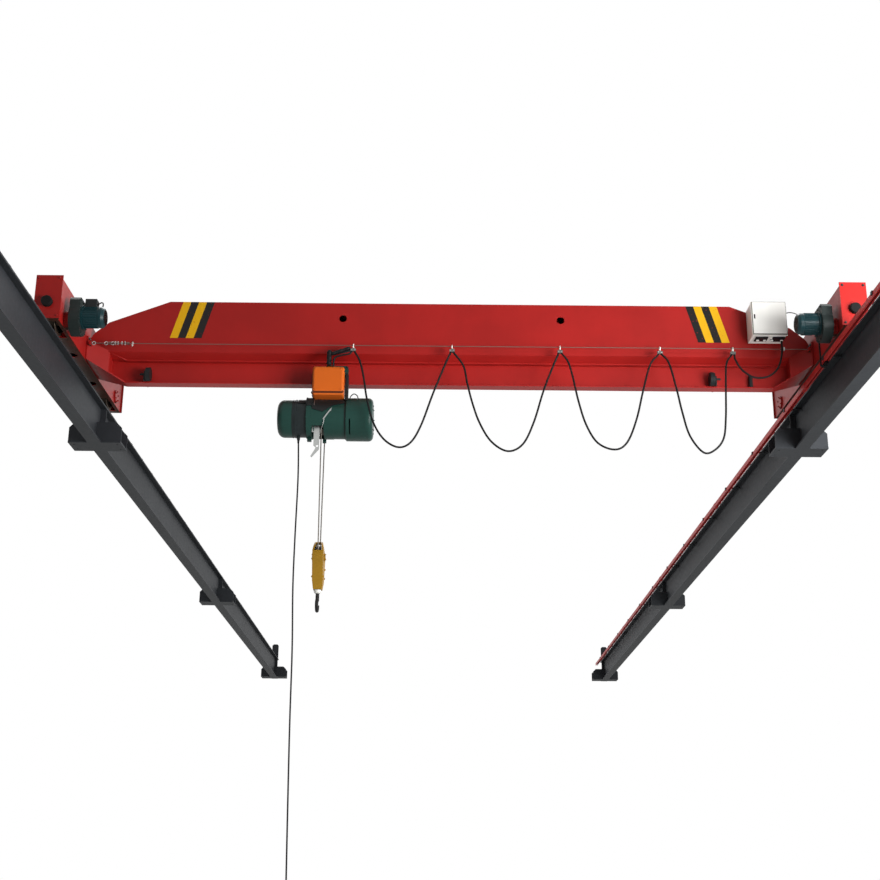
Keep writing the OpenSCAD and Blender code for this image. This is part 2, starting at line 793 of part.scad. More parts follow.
// A ring that hangs on the wire, with the cable clamp under it
module cable_hanger(x) {
    translate([x, -wire_y, 0]) union() {
        translate([0, 0, ring_z]) rotate([0, 90, 0]) rotate_extrude($fn = 40)
            translate([ring_r + ring_t, 0]) circle(r = ring_t, $fn = 20);
        translate([0, 0, clamp_top]) cube([ring_t * 2, ring_t * 2, ring_t * 2], center = true);
        block_between([-clamp_l / 2, -clamp_half, clamp_z], [clamp_l / 2, clamp_half, clamp_top]);
    }
}

module festoon_carrier_1() {
    color(ring_white) cable_hanger(carrier_x[0]);
}

module festoon_carrier_2() {
    color(ring_white) cable_hanger(carrier_x[1]);
}

module festoon_carrier_3() {
    color(ring_white) cable_hanger(carrier_x[2]);
}

module festoon_end_clamp() {
    color(ring_white) cable_hanger(end_clamp_x);
}

module tow_rings() {
    color(ring_white) cable_hanger(tow_x);
}

module cable_loop(p, ends = [DOWN, UP]) {
    color(cable_black) swept_cable(p, cable_r, [0, 1, 0], ends);
}

module festoon_loop_1() {
    cable_loop(loop_1);
}

module festoon_loop_2() {
    cable_loop(loop_2);
}

module festoon_loop_3() {
    cable_loop(loop_3);
}

module festoon_loop_4() {
    cable_loop(loop_4);
}

thin_cable_r = 5;
module panel_lead() {
    cable_loop(panel_run);
    color(cable_black) swept_cable(motor_run, thin_cable_r, [0, 1, 0], [[1, 0, 0], DOWN]);
}

module trolley_lead() {
    cable_loop(trolley_run, [DOWN, DOWN]);
    color(cable_black) swept_cable(gearbox_run, thin_cable_r, [0, 1, 0], [UP, DOWN]);
}

// Current collector under the duct, on an arm from the right carriage
collector_y = -830;
collector_arm = 10;
shoe_half_l = 62;
shoe_half_w = 16;
module current_collector() {
    arm_x = duct_x0 - 26;
    arm_z = carriage_z + 50;
    foot_z = duct_z - 32;
    color(cable_black) translate([0, collector_y, 0]) union() {
        block_between([arm_x, -15, foot_z + 2], [arm_x + collector_arm, 15, arm_z + collector_arm]);
        block_between([arm_x, -15, arm_z], [inner_r, 15, arm_z + collector_arm]);
        block_between([arm_x, -15, foot_z], [duct_x + 14, 15, foot_z + collector_arm]);
        block_between([duct_x - shoe_half_w, -shoe_half_l, foot_z + 8],
            [duct_x + shoe_half_w, shoe_half_l, duct_z - run_gap]);
    }
}

// Trolley

trolley_axle_z = ibeam_z + ibeam_flange + run_gap + trolley_wheel_r;
side_y = ibeam_w / 2 + 13;
pin_z = 300;
pin_half = 92;
pin_r = 20;
plate_low = 262;
plate_low_half = 136;
module trolley_side_plates() {
    color(cable_black) union() {
        for (s = [-1, 1]) difference() {
            across_y(s > 0 ? side_y : -side_y - side_t, s > 0 ? side_y + side_t : -side_y)
                polygon([[trolley_x - side_half, trolley_axle_z - 62], [trolley_x - plate_low_half, plate_low],
                    [trolley_x + plate_low_half, plate_low], [trolley_x + side_half, trolley_axle_z - 62],
                    [trolley_x + side_half, trolley_axle_z + 40],
                    [trolley_x + side_half - 40, trolley_axle_z + 70],
                    [trolley_x - side_half + 40, trolley_axle_z + 70],
                    [trolley_x - side_half, trolley_axle_z + 40]]);
            for (x = [-1, 1]) translate([trolley_x + x * pin_half, s * side_y, pin_z])
                rod_y(-30, 30, pin_r);
        }
    }
}

module trolley_wheels() {
    y0 = ibeam_web / 2 + 12;
    y1 = side_y;
    color(steel_bright) for (x = [-1, 1], s = [0, 1])
        translate([trolley_x + x * trolley_base / 2, 0, trolley_axle_z]) mirror([0, s, 0])
            rotate([-90, 0, 0]) rotate_extrude($fn = 48)
                polygon([[0, y0], [trolley_wheel_r, y0], [trolley_wheel_r, ibeam_w / 2 + 5],
                    [trolley_wheel_r + 10, ibeam_w / 2 + 6], [trolley_wheel_r + 10, y1 - 2],
                    [22, y1 - 2], [22, y1], [0, y1]]);
}

// Trolley drive: a gear housing in front of the beam and its motor behind
drive_x = 2625;
drive_z = 436;
drive_w = 128;
drive_h = 104;
drive_y = 152;
module trolley_motor() {
    y1 = side_y + side_t;
    color(hoist_green) translate([drive_x, 0, drive_z]) union() {
        across_y(-drive_y, -y1) polygon([[-drive_w / 2, 0], [drive_w / 2 + 40, 0],
            [drive_w / 2 + 40, drive_h - 16], [drive_w / 2 + 24, drive_h], [-drive_w / 2, drive_h]]);
        rod_y(-drive_y, -y1, 44);
        rod_y(y1, y1 + 60, 84);
        rod_y(y1 + 60, y1 + 250, 70);
    }
}

// Cross pins and hanger plates that carry the hoist under the beam
hanger_y = 52;
hanger_half = 8;
hanger_top_half = 140;
hanger_mid_half = 170;
hanger_foot_half = 120;
saddle_t = 9;
saddle_x = [2382, 2706];
saddle_low = 68;
saddle_dip = 34;
saddle_step_x = 2586;
saddle_step = 36;
module suspension_frame() {
    outer = housing_r + saddle_t;
    hanger_foot = hoist_z + housing_r - 30;
    color(cable_black) union() {
        for (x = [-1, 1]) translate([trolley_x + x * pin_half, 0, pin_z])
            rod_y(-side_y - side_t - 14, side_y + side_t + 14, pin_r - bore_gap);
        difference() {
            union() {
                for (s = [-1, 1]) across_y(s * hanger_y - hanger_half, s * hanger_y + hanger_half)
                    translate([trolley_x, 0]) polygon([[-hanger_top_half, pin_z + 34],
                        [-hanger_mid_half, pin_z - 10], [-hanger_foot_half, hanger_foot],
                        [hanger_foot_half, hanger_foot], [hanger_mid_half, pin_z - 10],
                        [hanger_top_half, pin_z + 34]]);
                intersection() {
                    translate([0, 0, hoist_z]) rod_x(saddle_x[0], saddle_x[1], outer);
                    across_y(-outer, outer) polygon([[saddle_x[0], saddle_low],
                        [block_x, saddle_low - saddle_dip], [saddle_step_x, saddle_low + saddle_step],
                        [saddle_x[1], saddle_low + 2 * saddle_step - 2],
                        [saddle_x[1], hoist_z + outer], [saddle_x[0], hoist_z + outer]]);
                }
            }
            translate([0, 0, hoist_z]) rod_x(motor_x0, gearbox_x1, housing_r + run_gap);
        }
    }
}

// Hoist

dome = 70;
seam_x = 176;
module hoist_motor() {
    r = hoist_motor_r;
    color(hoist_green) translate([motor_x0, 0, hoist_z]) union() {
        rotate([0, 90, 0]) rotate_extrude($fn = 72)
            polygon(concat([[0, 0]], [for (a = [0 : 10 : 90]) [r - dome + dome * sin(a), dome - dome * cos(a)]],
                [[r, seam_x], [r + 4, seam_x + 2], [r + 4, seam_x + 20], [r - 3, seam_x + 22],
                [r - 3, motor_x1 - motor_x0], [0, motor_x1 - motor_x0]]));
        translate([pendant_run[0][0] - motor_x0, 0, -r - 20]) cylinder(h = 40, r = pendant_r * 2, $fn = 24);
    }
}

lug_w = 46;
lug_drop = 34;
slot_top = hoist_z - 100;
rope_lug_x = 2492;
rope_lug_z = -190;
module drum_housing() {
    r = housing_r;
    color(hoist_green) difference() {
        union() {
            translate([0, 0, hoist_z]) rod_x(motor_x1, flange_x1, r + 6);
            translate([0, 0, hoist_z]) rod_x(flange_x1 - 1, gearbox_x0, r);
            block_between([motor_x1 + 4, -lug_w / 2, hoist_z - r - lug_drop],
                [flange_x1 - 4, lug_w / 2, hoist_z - r + 20]);
            block_between([rope_lug_x - 18, fall_out - 14, rope_lug_z],
                [rope_lug_x + 18, fall_out + 14, hoist_z - 152]);
        }
        translate([0, 0, hoist_z]) rod_x(flange_x1, gearbox_x0 + 1, r - housing_t);
        translate([0, 0, hoist_z]) rod_x(motor_x1 - 1, flange_x1 + 1, drum_shaft_r + bore_gap);
        block_between([flange_x1 + 8, -160, hoist_z - r - 10], [slot_x1, 60, slot_top]);
    }
}

module hoist_gearbox() {
    r = gearbox_r;
    round_r = 46;
    color(hoist_green) translate([gearbox_x0, 0, hoist_z - 2]) difference() {
        rotate([0, 90, 0]) rotate_extrude($fn = 72)
            polygon(concat([[0, 0], [r - 8, 0], [r, 8], [r, gearbox_l - round_r]],
                [for (a = [10 : 10 : 90])
                    [r - round_r + round_r * cos(a), gearbox_l - round_r + round_r * sin(a)]],
                [[0, gearbox_l]]));
        rod_x(-1, 40, drum_shaft_r + bore_gap + 2);
        block_between([38, -r, -190], [52, -90, -58]);
    }
}

module hoist_drum() {
    pitch = 15;
    groove = 3;
    n = floor((drum_x1 - drum_x0 - 60) / pitch);
    color(steel_bright) translate([0, 0, hoist_z]) rotate([0, 90, 0]) rotate_extrude($fn = 64)
        polygon(concat([[0, motor_x1 + 4], [drum_shaft_r, motor_x1 + 4], [drum_shaft_r, drum_x0],
            [drum_r + 12, drum_x0], [drum_r + 12, drum_x0 + 14]],
            [for (i = [0 : n - 1], k = [0, 1])
                [drum_r - k * groove, drum_x0 + 26 + i * pitch + k * pitch / 2]],
            [[drum_r, drum_x1 - 26], [drum_r + 12, drum_x1 - 14], [drum_r + 12, drum_x1],
            [drum_shaft_r, drum_x1], [drum_shaft_r, gearbox_x0 + 30], [0, gearbox_x0 + 30]]));
}

guide_l = 34;
guide_bar_z = 178;
module rope_guide() {
    color(steel_bright) union() {
        translate([window_x1 + 4, 0, hoist_z]) difference() {
            union() {
                rod_x(0, guide_l, drum_r + 40);
                block_between([0, -14, drum_r + 20], [guide_l, 14, guide_bar_z]);
            }
            rod_x(-1, guide_l + 1, drum_r + 16);
            translate([-1, -drum_r - 55, -drum_r - 45]) cube([guide_l + 2, 90, drum_r + 45]);
        }
        translate([0, 0, hoist_z + guide_bar_z]) rod_x(flange_x1 + run_gap, gearbox_x0 - run_gap, 9);
    }
}

// Pale plate that hangs through the housing's opening, with a foot under its hole
plate_x = 2402;
plate_w = 57;
plate_y = [-118, -108];
plate_top = -82;
plate_neck = -150;
plate_end = -330;
plate_hole = [2439, -296];
plate_hole_r = 12;
foot_tip = [2376, -402];
foot_edge = [2388, -414];
lever_x = [2480, 2600];
lever_t = 7;
lever_y = -100;
lever = [[2491, -40], [2501, -47], [2566, 46], [2572, 38], [2574, 58], [2580, 84]];
module rope_anchor() {
    x0 = flange_x1 + 8 + run_gap;
    x1 = plate_x + plate_w;
    color(steel_bright) {
        difference() {
            across_y(plate_y[0], plate_y[1]) polygon([[x0, plate_top], [x1, plate_top], [x1, plate_end],
                foot_edge, foot_tip, [x1 - 32, plate_end + 16], [plate_x, plate_end + 40],
                [plate_x, plate_neck], [x0, plate_neck]]);
            translate([plate_hole[0], plate_y[0], plate_hole[1]]) rod_y(-3, 28, plate_hole_r);
        }
        intersection() {
            translate([0, 0, hoist_z]) difference() {
                rod_x(lever_x[0], lever_x[1], housing_r + lever_t);
                rod_x(lever_x[0] - 1, lever_x[1] + 1, housing_r + run_gap);
            }
            across_y(-housing_r - 10, lever_y) polygon(lever);
        }
    }
}

box_w = 318;
box_h = 300;
box_x = 2381;
box_z = 188;
box_y0 = -290;
box_y1 = -154;
box_foot_x = [box_x + 90, box_x + 190];
box_foot_z = [box_z + 80, box_z + 140];
module hoist_electric_box() {
    corner = 24;
    color(box_orange) union() {
        across_y(box_y0, box_y1) union() {
            translate([box_x + corner, box_z]) square([box_w - 2 * corner, box_h]);
            translate([box_x, box_z + corner]) square([box_w, box_h - 2 * corner]);
            for (x = [0, 1], z = [0, 1])
                translate([box_x + corner + x * (box_w - 2 * corner),
                    box_z + corner + z * (box_h - 2 * corner)])
                    circle(r = corner);
        }
        block_between([box_foot_x[0], box_y1 - 1, box_foot_z[0]],
            [box_foot_x[1], -side_y - side_t, box_foot_z[1]]);
    }
}

// Flat post on the box and the sloping flat bar that tows the first cable clamp
post_w = 36;
post_h = 152;
arm_t = 8;
post_corner = 14;
post_eye = [18, 8];
post_foot = [28, 6];
tow_bar_low = 590;
tow_bar_w = 24;
module tow_arm() {
    foot = box_z + box_h;
    top = foot + post_h;
    right = tow_x - clamp_l / 2;
    color(steel_dark) union() {
        difference() {
            across_y(box_y0 + 2, box_y0 + 2 + arm_t)
                polygon([[post_x - post_w / 2, foot], [post_x + post_w / 2, foot],
                    [post_x + post_w / 2, top - post_corner], [post_x + 8, top], [post_x - 8, top],
                    [post_x - post_w / 2, top - post_corner]]);
            translate([post_x, box_y0, top - post_eye[0]]) rod_y(-20, 20, post_eye[1]);
        }
        block_between([post_x - post_foot[0], box_y0 + 2, foot],
            [post_x + post_foot[0], box_y0 + 50, foot + post_foot[1]]);
        across_y(-wire_y + 4, box_y0 + 3) polygon([[post_x - post_corner, tow_bar_low], [right, clamp_z],
            [right, clamp_top], [post_x - post_corner, tow_bar_low + tow_bar_w]]);
    }
}

// Pendant control on its own cable
module pendant_cable() {
    color(cable_black) swept_cable(pendant_run, pendant_r, [0, 1, 0], [DOWN, DOWN]);
}

station_h = 300;
station_w = 78;
station_d = 62;
boot_l = 60;
button_r = 13;
button_pitch = 46;
module pendant_station() {
    top = pendant_run[7][2];
    color(box_orange) translate([pendant_run[7][0], 0, top - run_gap]) union() {
        translate([0, 0, -boot_l]) cylinder(h = boot_l, r = 15);
        block_between([-station_w / 2, -station_d / 2, -boot_l - station_h],
            [station_w / 2, station_d / 2, 2 - boot_l]);
        for (i = [0 : 5]) translate([0, -station_d / 2, -boot_l - 32 - i * button_pitch]) rotate([90, 0, 0])
            cylinder(h = 8, r = button_r);
    }
}

// Rope falls, hook block and hook

fall_out = sheave_r + rope_r + run_gap;
module rope_fall(top, low) {
    v = top - low;
    translate(low) rotate([0, acos(v[2] / norm(v)), atan2(v[1], v[0])])
        cylinder(h = norm(v), r = rope_r, $fn = 24);
}

rope_top_x = 2476;
module hoist_ropes() {
    color(steel_dark) {
        rope_fall([rope_top_x, -drum_r - rope_r - run_gap, hoist_z], [block_x, -fall_out, sheave_z]);
        rope_fall([rope_lug_x, fall_out, rope_lug_z - run_gap], [block_x, fall_out, sheave_z]);
    }
}

block_plate = 13;
block_r = 150;
block_neck = 44;
casing_t = 12;
slot_low = sheave_z + 42;
block_top = sheave_z + 148;
block_top_half = 35;
block_foot_half = 42;
module block_side(less = 0) {
    union() {
        translate([0, sheave_z]) circle(r = block_r - less, $fn = 64);
        polygon([[less - block_r + 2, sheave_z - 20], [block_r - less - 2, sheave_z - 20],
            [block_neck + 12 - less, hook_top_z + 30], [block_neck - less, hook_top_z],
            [less - block_neck, hook_top_z], [less - block_neck - 12, hook_top_z + 30]]);
    }
}

// The casing seen edge-on: straight cheeks that lean in towards the top and at the foot
module block_edge(less) {
    half = block_t / 2 - less;
    top_half = block_top_half - less;
    foot_half = block_foot_half - less;
    polygon([[block_x - half, slot_low], [block_x - top_half, block_top + 4],
        [block_x + top_half, block_top + 4], [block_x + half, slot_low],
        [block_x + half, hook_top_z + 80], [block_x + foot_half, hook_top_z - 1],
        [block_x - foot_half, hook_top_z - 1], [block_x - half, hook_top_z + 80]]);
}

module hook_block() {
    t = block_t / 2;
    color(block_yellow) difference() {
        union() {
            difference() {
                intersection() {
                    along_x(block_x - t, block_x + t) block_side();
                    across_y(-block_r, block_r) block_edge(0);
                }
                intersection() {
                    along_x(block_x - t, block_x + t) difference() {
                        union() {
                            block_side(casing_t);
                            translate([-block_r - 1, slot_low]) square([2 * block_r + 2, block_r]);
                        }
                        translate([-30, sheave_z + sheave_r + 22]) square([60, 40]);
                        translate([-block_r, hook_top_z - 1]) square([2 * block_r, crosshead_h + 1]);
                    }
                    across_y(-block_r - 2, block_r + 2) block_edge(block_plate);
                }
            }
            translate([block_x, 0, sheave_z]) for (m = [0, 1]) mirror([m, 0, 0])
                rod_x(t - 6, t + 12, 38);
        }
        translate([block_x, 0, sheave_z]) rod_x(-t - 20, t + 20, pin_bore);
        translate([block_x, 0, hook_top_z - 1]) cylinder(h = crosshead_h + 2, r = shank_r + 1);
    }
}

pin_bore = 22;
sheave_half = 18;
module rope_sheave() {
    half = sheave_half;
    pin = pin_bore - bore_gap;
    pin_l = block_t / 2 + 11;
    rim = sheave_r + 12;
    color(steel_dark) translate([block_x, 0, sheave_z]) rotate([0, 90, 0]) rotate_extrude($fn = 64)
        polygon([[0, -pin_l], [pin, -pin_l], [pin, -half], [rim, -half], [rim, 4 - half],
            [sheave_r, -rope_r - 1], [sheave_r, rope_r + 1], [rim, half - 4], [rim, half],
            [pin, half], [pin, pin_l], [0, pin_l]]);
}

hook_mid_z = hook_top_z - 150;
crosshead_h = 90;
module hook() {
    ring = hook_in_r + 20;
    color(steel_dark) translate([block_x, 0, 0]) union() {
        translate([0, 0, hook_mid_z + 40])
            cylinder(h = hook_top_z + crosshead_h + 26 - hook_mid_z - 40, r = shank_r);
        translate([0, 0, hook_top_z - 26]) cylinder(h = 26 - run_gap, r = 34);
        translate([0, 0, hook_top_z + crosshead_h + run_gap]) cylinder(h = 24, r = 29, $fn = 6);
        translate([0, 0, hook_mid_z]) rotate([0, 90, 0]) difference() {
            rotate_extrude($fn = 56) translate([ring, 0]) circle(r = hook_t / 2, $fn = 28);
            linear_extrude(hook_t * 2, center = true)
                polygon(concat([[0, 0]], [for (a = [98 : 16 : 178]) 2 * ring * [cos(a), sin(a)]]));
        }
    }
}

module hook_latch() {
    color(steel_bright) along_x(block_x - 8, block_x + 8)
        polygon([[shank_r + run_gap, hook_mid_z + 62], [shank_r + 4, hook_mid_z + 64], [40, hook_mid_z + 22.5],
            [37.4, hook_mid_z + 21.3]]);
}

runway_beam_left();
runway_beam_right();
crane_rails();
rail_stops();
conductor_rail();
duct_hangers();
girder_box();
girder_i_beam();
girder_end_left();
girder_end_right();
end_carriage_left();
end_carriage_right();
carriage_buffers();
drive_gearboxes();
drive_motors();
control_panel();
panel_brackets();
trolley_stops();
festoon_wire();
wire_brackets();
festoon_end_clamp();
current_collector();
wheel_front_left();
wheel_rear_left();
wheel_front_right();
wheel_rear_right();
trolley_side_plates();
trolley_wheels();
trolley_motor();
suspension_frame();
hoist_motor();
drum_housing();
hoist_gearbox();
hoist_electric_box();
tow_arm();
tow_rings();
rope_guide();
rope_anchor();
pendant_cable();
pendant_station();
hoist_drum();
festoon_carrier_1();
festoon_carrier_2();
festoon_carrier_3();
festoon_loop_1();
festoon_loop_2();
festoon_loop_3();
festoon_loop_4();
panel_lead();
trolley_lead();
hoist_ropes();
hook_block();
rope_sheave();
hook();
hook_latch();
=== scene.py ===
# %% [markdown]
# An overhead travelling crane, seen from the floor of a hall. One girder spans two
# runway beams. A wire-rope hoist hangs from the girder's lower flange, and a festoon
# of black cable brings it power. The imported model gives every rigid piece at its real
# size in metres. This lesson gives each surface its finish, lays the cables and ropes,
# and adds the small things that repeat, such as bolts, clips and fins.
# %% Load the frame
import json
import math

import bmesh
import bpy
from mathutils import Matrix, Vector

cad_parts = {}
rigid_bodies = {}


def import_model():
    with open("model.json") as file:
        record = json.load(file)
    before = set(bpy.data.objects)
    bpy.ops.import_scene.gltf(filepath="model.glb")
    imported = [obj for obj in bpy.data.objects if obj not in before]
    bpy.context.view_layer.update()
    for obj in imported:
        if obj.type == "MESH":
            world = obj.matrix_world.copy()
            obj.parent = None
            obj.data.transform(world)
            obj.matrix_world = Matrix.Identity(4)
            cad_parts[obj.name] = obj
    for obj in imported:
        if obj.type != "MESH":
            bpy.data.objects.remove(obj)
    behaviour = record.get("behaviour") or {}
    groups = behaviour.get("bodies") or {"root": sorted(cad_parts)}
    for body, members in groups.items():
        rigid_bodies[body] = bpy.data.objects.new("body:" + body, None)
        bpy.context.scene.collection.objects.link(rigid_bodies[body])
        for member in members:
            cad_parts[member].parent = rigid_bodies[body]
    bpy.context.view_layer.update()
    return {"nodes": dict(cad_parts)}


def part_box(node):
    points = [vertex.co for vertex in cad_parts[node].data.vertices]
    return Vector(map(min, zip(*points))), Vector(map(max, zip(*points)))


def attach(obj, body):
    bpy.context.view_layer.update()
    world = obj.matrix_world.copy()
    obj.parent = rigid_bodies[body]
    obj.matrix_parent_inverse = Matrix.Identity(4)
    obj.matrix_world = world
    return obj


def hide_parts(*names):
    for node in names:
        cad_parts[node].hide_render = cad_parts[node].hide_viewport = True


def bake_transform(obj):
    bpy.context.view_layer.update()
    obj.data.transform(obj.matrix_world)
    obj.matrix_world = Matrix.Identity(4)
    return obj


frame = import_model()
nodes = frame["nodes"]

# %% [markdown]
# The picture was taken from the floor, in front of the crane and a little right of the
# hoist, with the lens tilted up. The camera's place and angles follow from lines whose
# real direction is known: the girder is level, the runway runs straight back, and the
# ropes hang plumb. The vanishing point of each set gives the lens, tilt, turn and roll.
# %% Camera
SENSOR_MM = 36
PICTURE_PX = 880
FOCAL_PX = 1349
CAMERA_PLACE = Vector((3.6124, -12.8359, -4.406))
TILT = math.radians(18.2)
TURN = math.radians(-0.20)
ROLL = math.radians(0.43)
FAR_CLIP = 200


def make_camera():
    """A camera at the photograph's place, looking as it looked."""
    flat = math.cos(TILT)
    look = Vector((-math.sin(TURN) * flat, math.cos(TURN) * flat, math.sin(TILT)))
    level = look.cross(Vector((0, 0, 1))).normalized()
    above = level.cross(look)
    right = math.cos(ROLL) * level + math.sin(ROLL) * above
    up = -math.sin(ROLL) * level + math.cos(ROLL) * above
    data = bpy.data.cameras.new("Camera")
    data.sensor_width = SENSOR_MM
    data.lens = FOCAL_PX / PICTURE_PX * SENSOR_MM
    data.clip_end = FAR_CLIP
    camera = bpy.data.objects.new("Camera", data)
    camera.matrix_world = Matrix((right, up, -look)).transposed().to_4x4()
    camera.location = CAMERA_PLACE
    bpy.context.scene.collection.objects.link(camera)
    bpy.context.scene.camera = camera
    return camera


print("lens", round(make_camera().data.lens, 2), "mm")

# %% [markdown]
# A mesh is made from plain lists of points and faces. This helper is used by every
# piece below. It leaves the object at the origin, with its place in its points, so that
# patterns on Object coordinates line up from piece to piece.
# %% Mesh helper


def mesh_object(name, mesh, material=None):
    """An object that shows the mesh, linked into the scene."""
    obj = bpy.data.objects.new(name, mesh)
    bpy.context.scene.collection.objects.link(obj)
    if material:
        mesh.materials.append(material)
    return obj


def new_piece(name, points, faces, material=None, smooth=False):
    """A mesh object from points and faces, in the shared frame."""
    mesh = bpy.data.meshes.new(name)
    mesh.from_pydata([tuple(p) for p in points], [], [tuple(f) for f in faces])
    mesh.update()
    if smooth:
        mesh.shade_smooth()
    return mesh_object(name, mesh, material)


def fit(piece, body):
    """Lets a new piece ride on its body."""
    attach(piece, body)
    return piece


def turns(count):
    """Angles in equal steps round a full turn."""
    return [math.tau * k / count for k in range(count)]


def belt(low, high, count):
    """The faces between two rings of points, each ring given by its first point."""
    return [(low + k, low + (k + 1) % count, high + (k + 1) % count, high + k)
            for k in range(count)]


def tube_faces(rings, sides, first=0):
    """The faces of a row of rings, closed at both ends."""
    last = first + (rings - 1) * sides
    faces = [face for low in range(first, last, sides) for face in belt(low, low + sides, sides)]
    return faces + [tuple(first + sides - 1 - k for k in range(sides)),
                    tuple(last + k for k in range(sides))]


# %% [markdown]
# A material is a graph of nodes. Written by hand, a graph soon takes a page, so a small
# class wraps one socket and lets Python's own signs add the Math nodes: a mask times
# two, plus a noise, is written just like that. Colours are mixed by Mix nodes, because
# a Math node would turn them grey.
# %% Shader helpers


class Signal:
    """One output socket that carries a number, with Python's operators."""

    def __init__(self, finish, socket):
        self.finish = finish
        self.socket = socket

    def math(self, operation, *others, clamp=False):
        return self.finish.node("ShaderNodeMath", dict(enumerate((self, *others))),
                                operation=operation, use_clamp=clamp)

    def __add__(self, other):
        return self.math("ADD", other)

    __radd__ = __add__

    def __sub__(self, other):
        return self.math("SUBTRACT", other)

    def __rsub__(self, other):
        return self.finish.number(other).math("SUBTRACT", self)

    def __mul__(self, other):
        return self.math("MULTIPLY", other)

    __rmul__ = __mul__

    def __truediv__(self, other):
        return self.math("DIVIDE", other)

    def above(self, limit):
        """1 where the signal is over the limit, else 0."""
        return self.math("GREATER_THAN", limit)

    def below(self, limit):
        return self.math("LESS_THAN", limit)

    def absolute(self):
        return self.math("ABSOLUTE")

    def ramp(self, low, high):
        """0 at low, 1 at high, straight between them and level outside."""
        return ((self - low) / (high - low)).math("ADD", 0.0, clamp=True)


class Finish:
    """A material under construction: one Principled surface and its node tree."""

    def __init__(self, name, color, roughness, metallic=0.0, **sockets):
        self.material = bpy.data.materials.new(name)
        self.material.use_nodes = True
        self.tree = self.material.node_tree
        self.shader = self.tree.nodes["Principled BSDF"]
        sockets.update({"Base Color": (*color, 1), "Roughness": roughness, "Metallic": metallic})
        for key, value in sockets.items():
            self.shader.inputs[key].default_value = value

    def node(self, kind, values=None, output=0, **settings):
        """Adds a node: its settings first, then the values or links of its sockets."""
        node = self.tree.nodes.new(kind)
        for key, value in settings.items():
            setattr(node, key, value)
        for key, value in (values or {}).items():
            socket = node.inputs[key]
            if isinstance(value, Signal):
                self.tree.links.new(value.socket, socket)
            elif hasattr(value, "__len__") and len(value) < len(socket.default_value):
                socket.default_value = (*value, 1)
            else:
                socket.default_value = value
        return Signal(self, node.outputs[output])

    def number(self, value):
        return self.node("ShaderNodeMath", {0: value, 1: 0.0}, operation="ADD")

    def place(self):
        """Object coordinates, in metres in the shared frame."""
        return self.node("ShaderNodeTexCoord", output="Object")

    def split(self, vector):
        """The X, Y and Z of a vector, as three signals."""
        node = self.node("ShaderNodeSeparateXYZ", {0: vector}).socket.node
        return [Signal(self, socket) for socket in node.outputs]

    def axes(self):
        """Where a point of the surface lies."""
        return self.split(self.place())

    def facing(self):
        """Which way the surface looks."""
        return self.split(self.node("ShaderNodeNewGeometry", output="Normal"))

    def noise(self, scale, detail=3.0, stretch=(1, 1, 1), seed=0.0):
        """Cloudy noise between about 0.3 and 0.7, with its grain drawn out by stretch."""
        moved = self.node("ShaderNodeMapping", {
            "Vector": self.place(), "Location": (seed, seed * 0.7, -seed), "Scale": stretch})
        return self.node("ShaderNodeTexNoise", {
            "Vector": moved, "Scale": scale, "Detail": detail, "Roughness": 0.6})

    def mix(self, mask, low, high):
        """A colour between low and high, by the mask. Sockets 6, 7 and 2 carry colours."""
        return self.node("ShaderNodeMix", {0: mask, 6: low, 7: high}, 2, data_type="RGBA")

    def so_far(self, name):
        """What already feeds an input of the surface."""
        return Signal(self, self.shader.inputs[name].links[0].from_socket)

    def set(self, name, signal):
        self.tree.links.new(signal.socket, self.shader.inputs[name])

    def bump(self, height, distance, strength):
        self.set("Normal", self.node("ShaderNodeBump", {
            "Height": height, "Distance": distance, "Strength": strength}))


def srgb(red, green, blue):
    """A colour read as 0 to 255 on a screen, as the linear numbers a shader wants."""
    shares = [c / 255 for c in (red, green, blue)]
    return tuple(c / 12.92 if c <= 0.04045 else ((c + 0.055) / 1.055) ** 2.4 for c in shares)


def darker(color, by):
    """A colour with a share of its light taken away."""
    return tuple(c * (1 - by) for c in color)


# %% [markdown]
# Paint on steel is never one flat colour. The coat is a little thicker here and there,
# the roller or spray leaves a fine orange-peel, and dust lies on what faces up. One
# function makes such a coat for every painted piece, from its colour, its gloss and how
# dusty and worn it is.
# %% Painted steel
PAINT_SHEEN = 0.22
DUST_GREY = srgb(150, 144, 134)


def paint_coat(name, color, roughness, dusty=0.15, shade=0.18, grain=0.0003):
    """Sprayed paint: cloudy colour, orange-peel bump, and dust on upward faces."""
    finish = Finish(name, color, roughness, **{"Specular IOR Level": PAINT_SHEEN})
    clouds = finish.noise(1.3, 4.0).ramp(0.35, 0.7)
    streaks = finish.noise(6.0, stretch=(1, 1, 0.12), seed=3.1).ramp(0.45, 0.75)
    coat = finish.mix(clouds, darker(color, shade), color)
    coat = finish.mix(streaks * 0.25, coat, darker(color, 0.28))
    up = finish.facing()[2].ramp(0.55, 0.95)
    dust = up * finish.noise(9.0, 5.0, seed=1.7).ramp(0.3, 0.65) * dusty
    finish.set("Base Color", finish.mix(dust, coat, DUST_GREY))
    gloss = (finish.noise(22.0, seed=5.0) - 0.5) * 0.16
    finish.set("Roughness", gloss + roughness + dust * 0.6)
    finish.bump(finish.noise(420.0, 2.0), grain, 0.35)
    return finish


def paint(name, levels, roughness, **wear):
    """A coat of paint from its colour on a screen."""
    return paint_coat(name, srgb(*levels), roughness, **wear).material


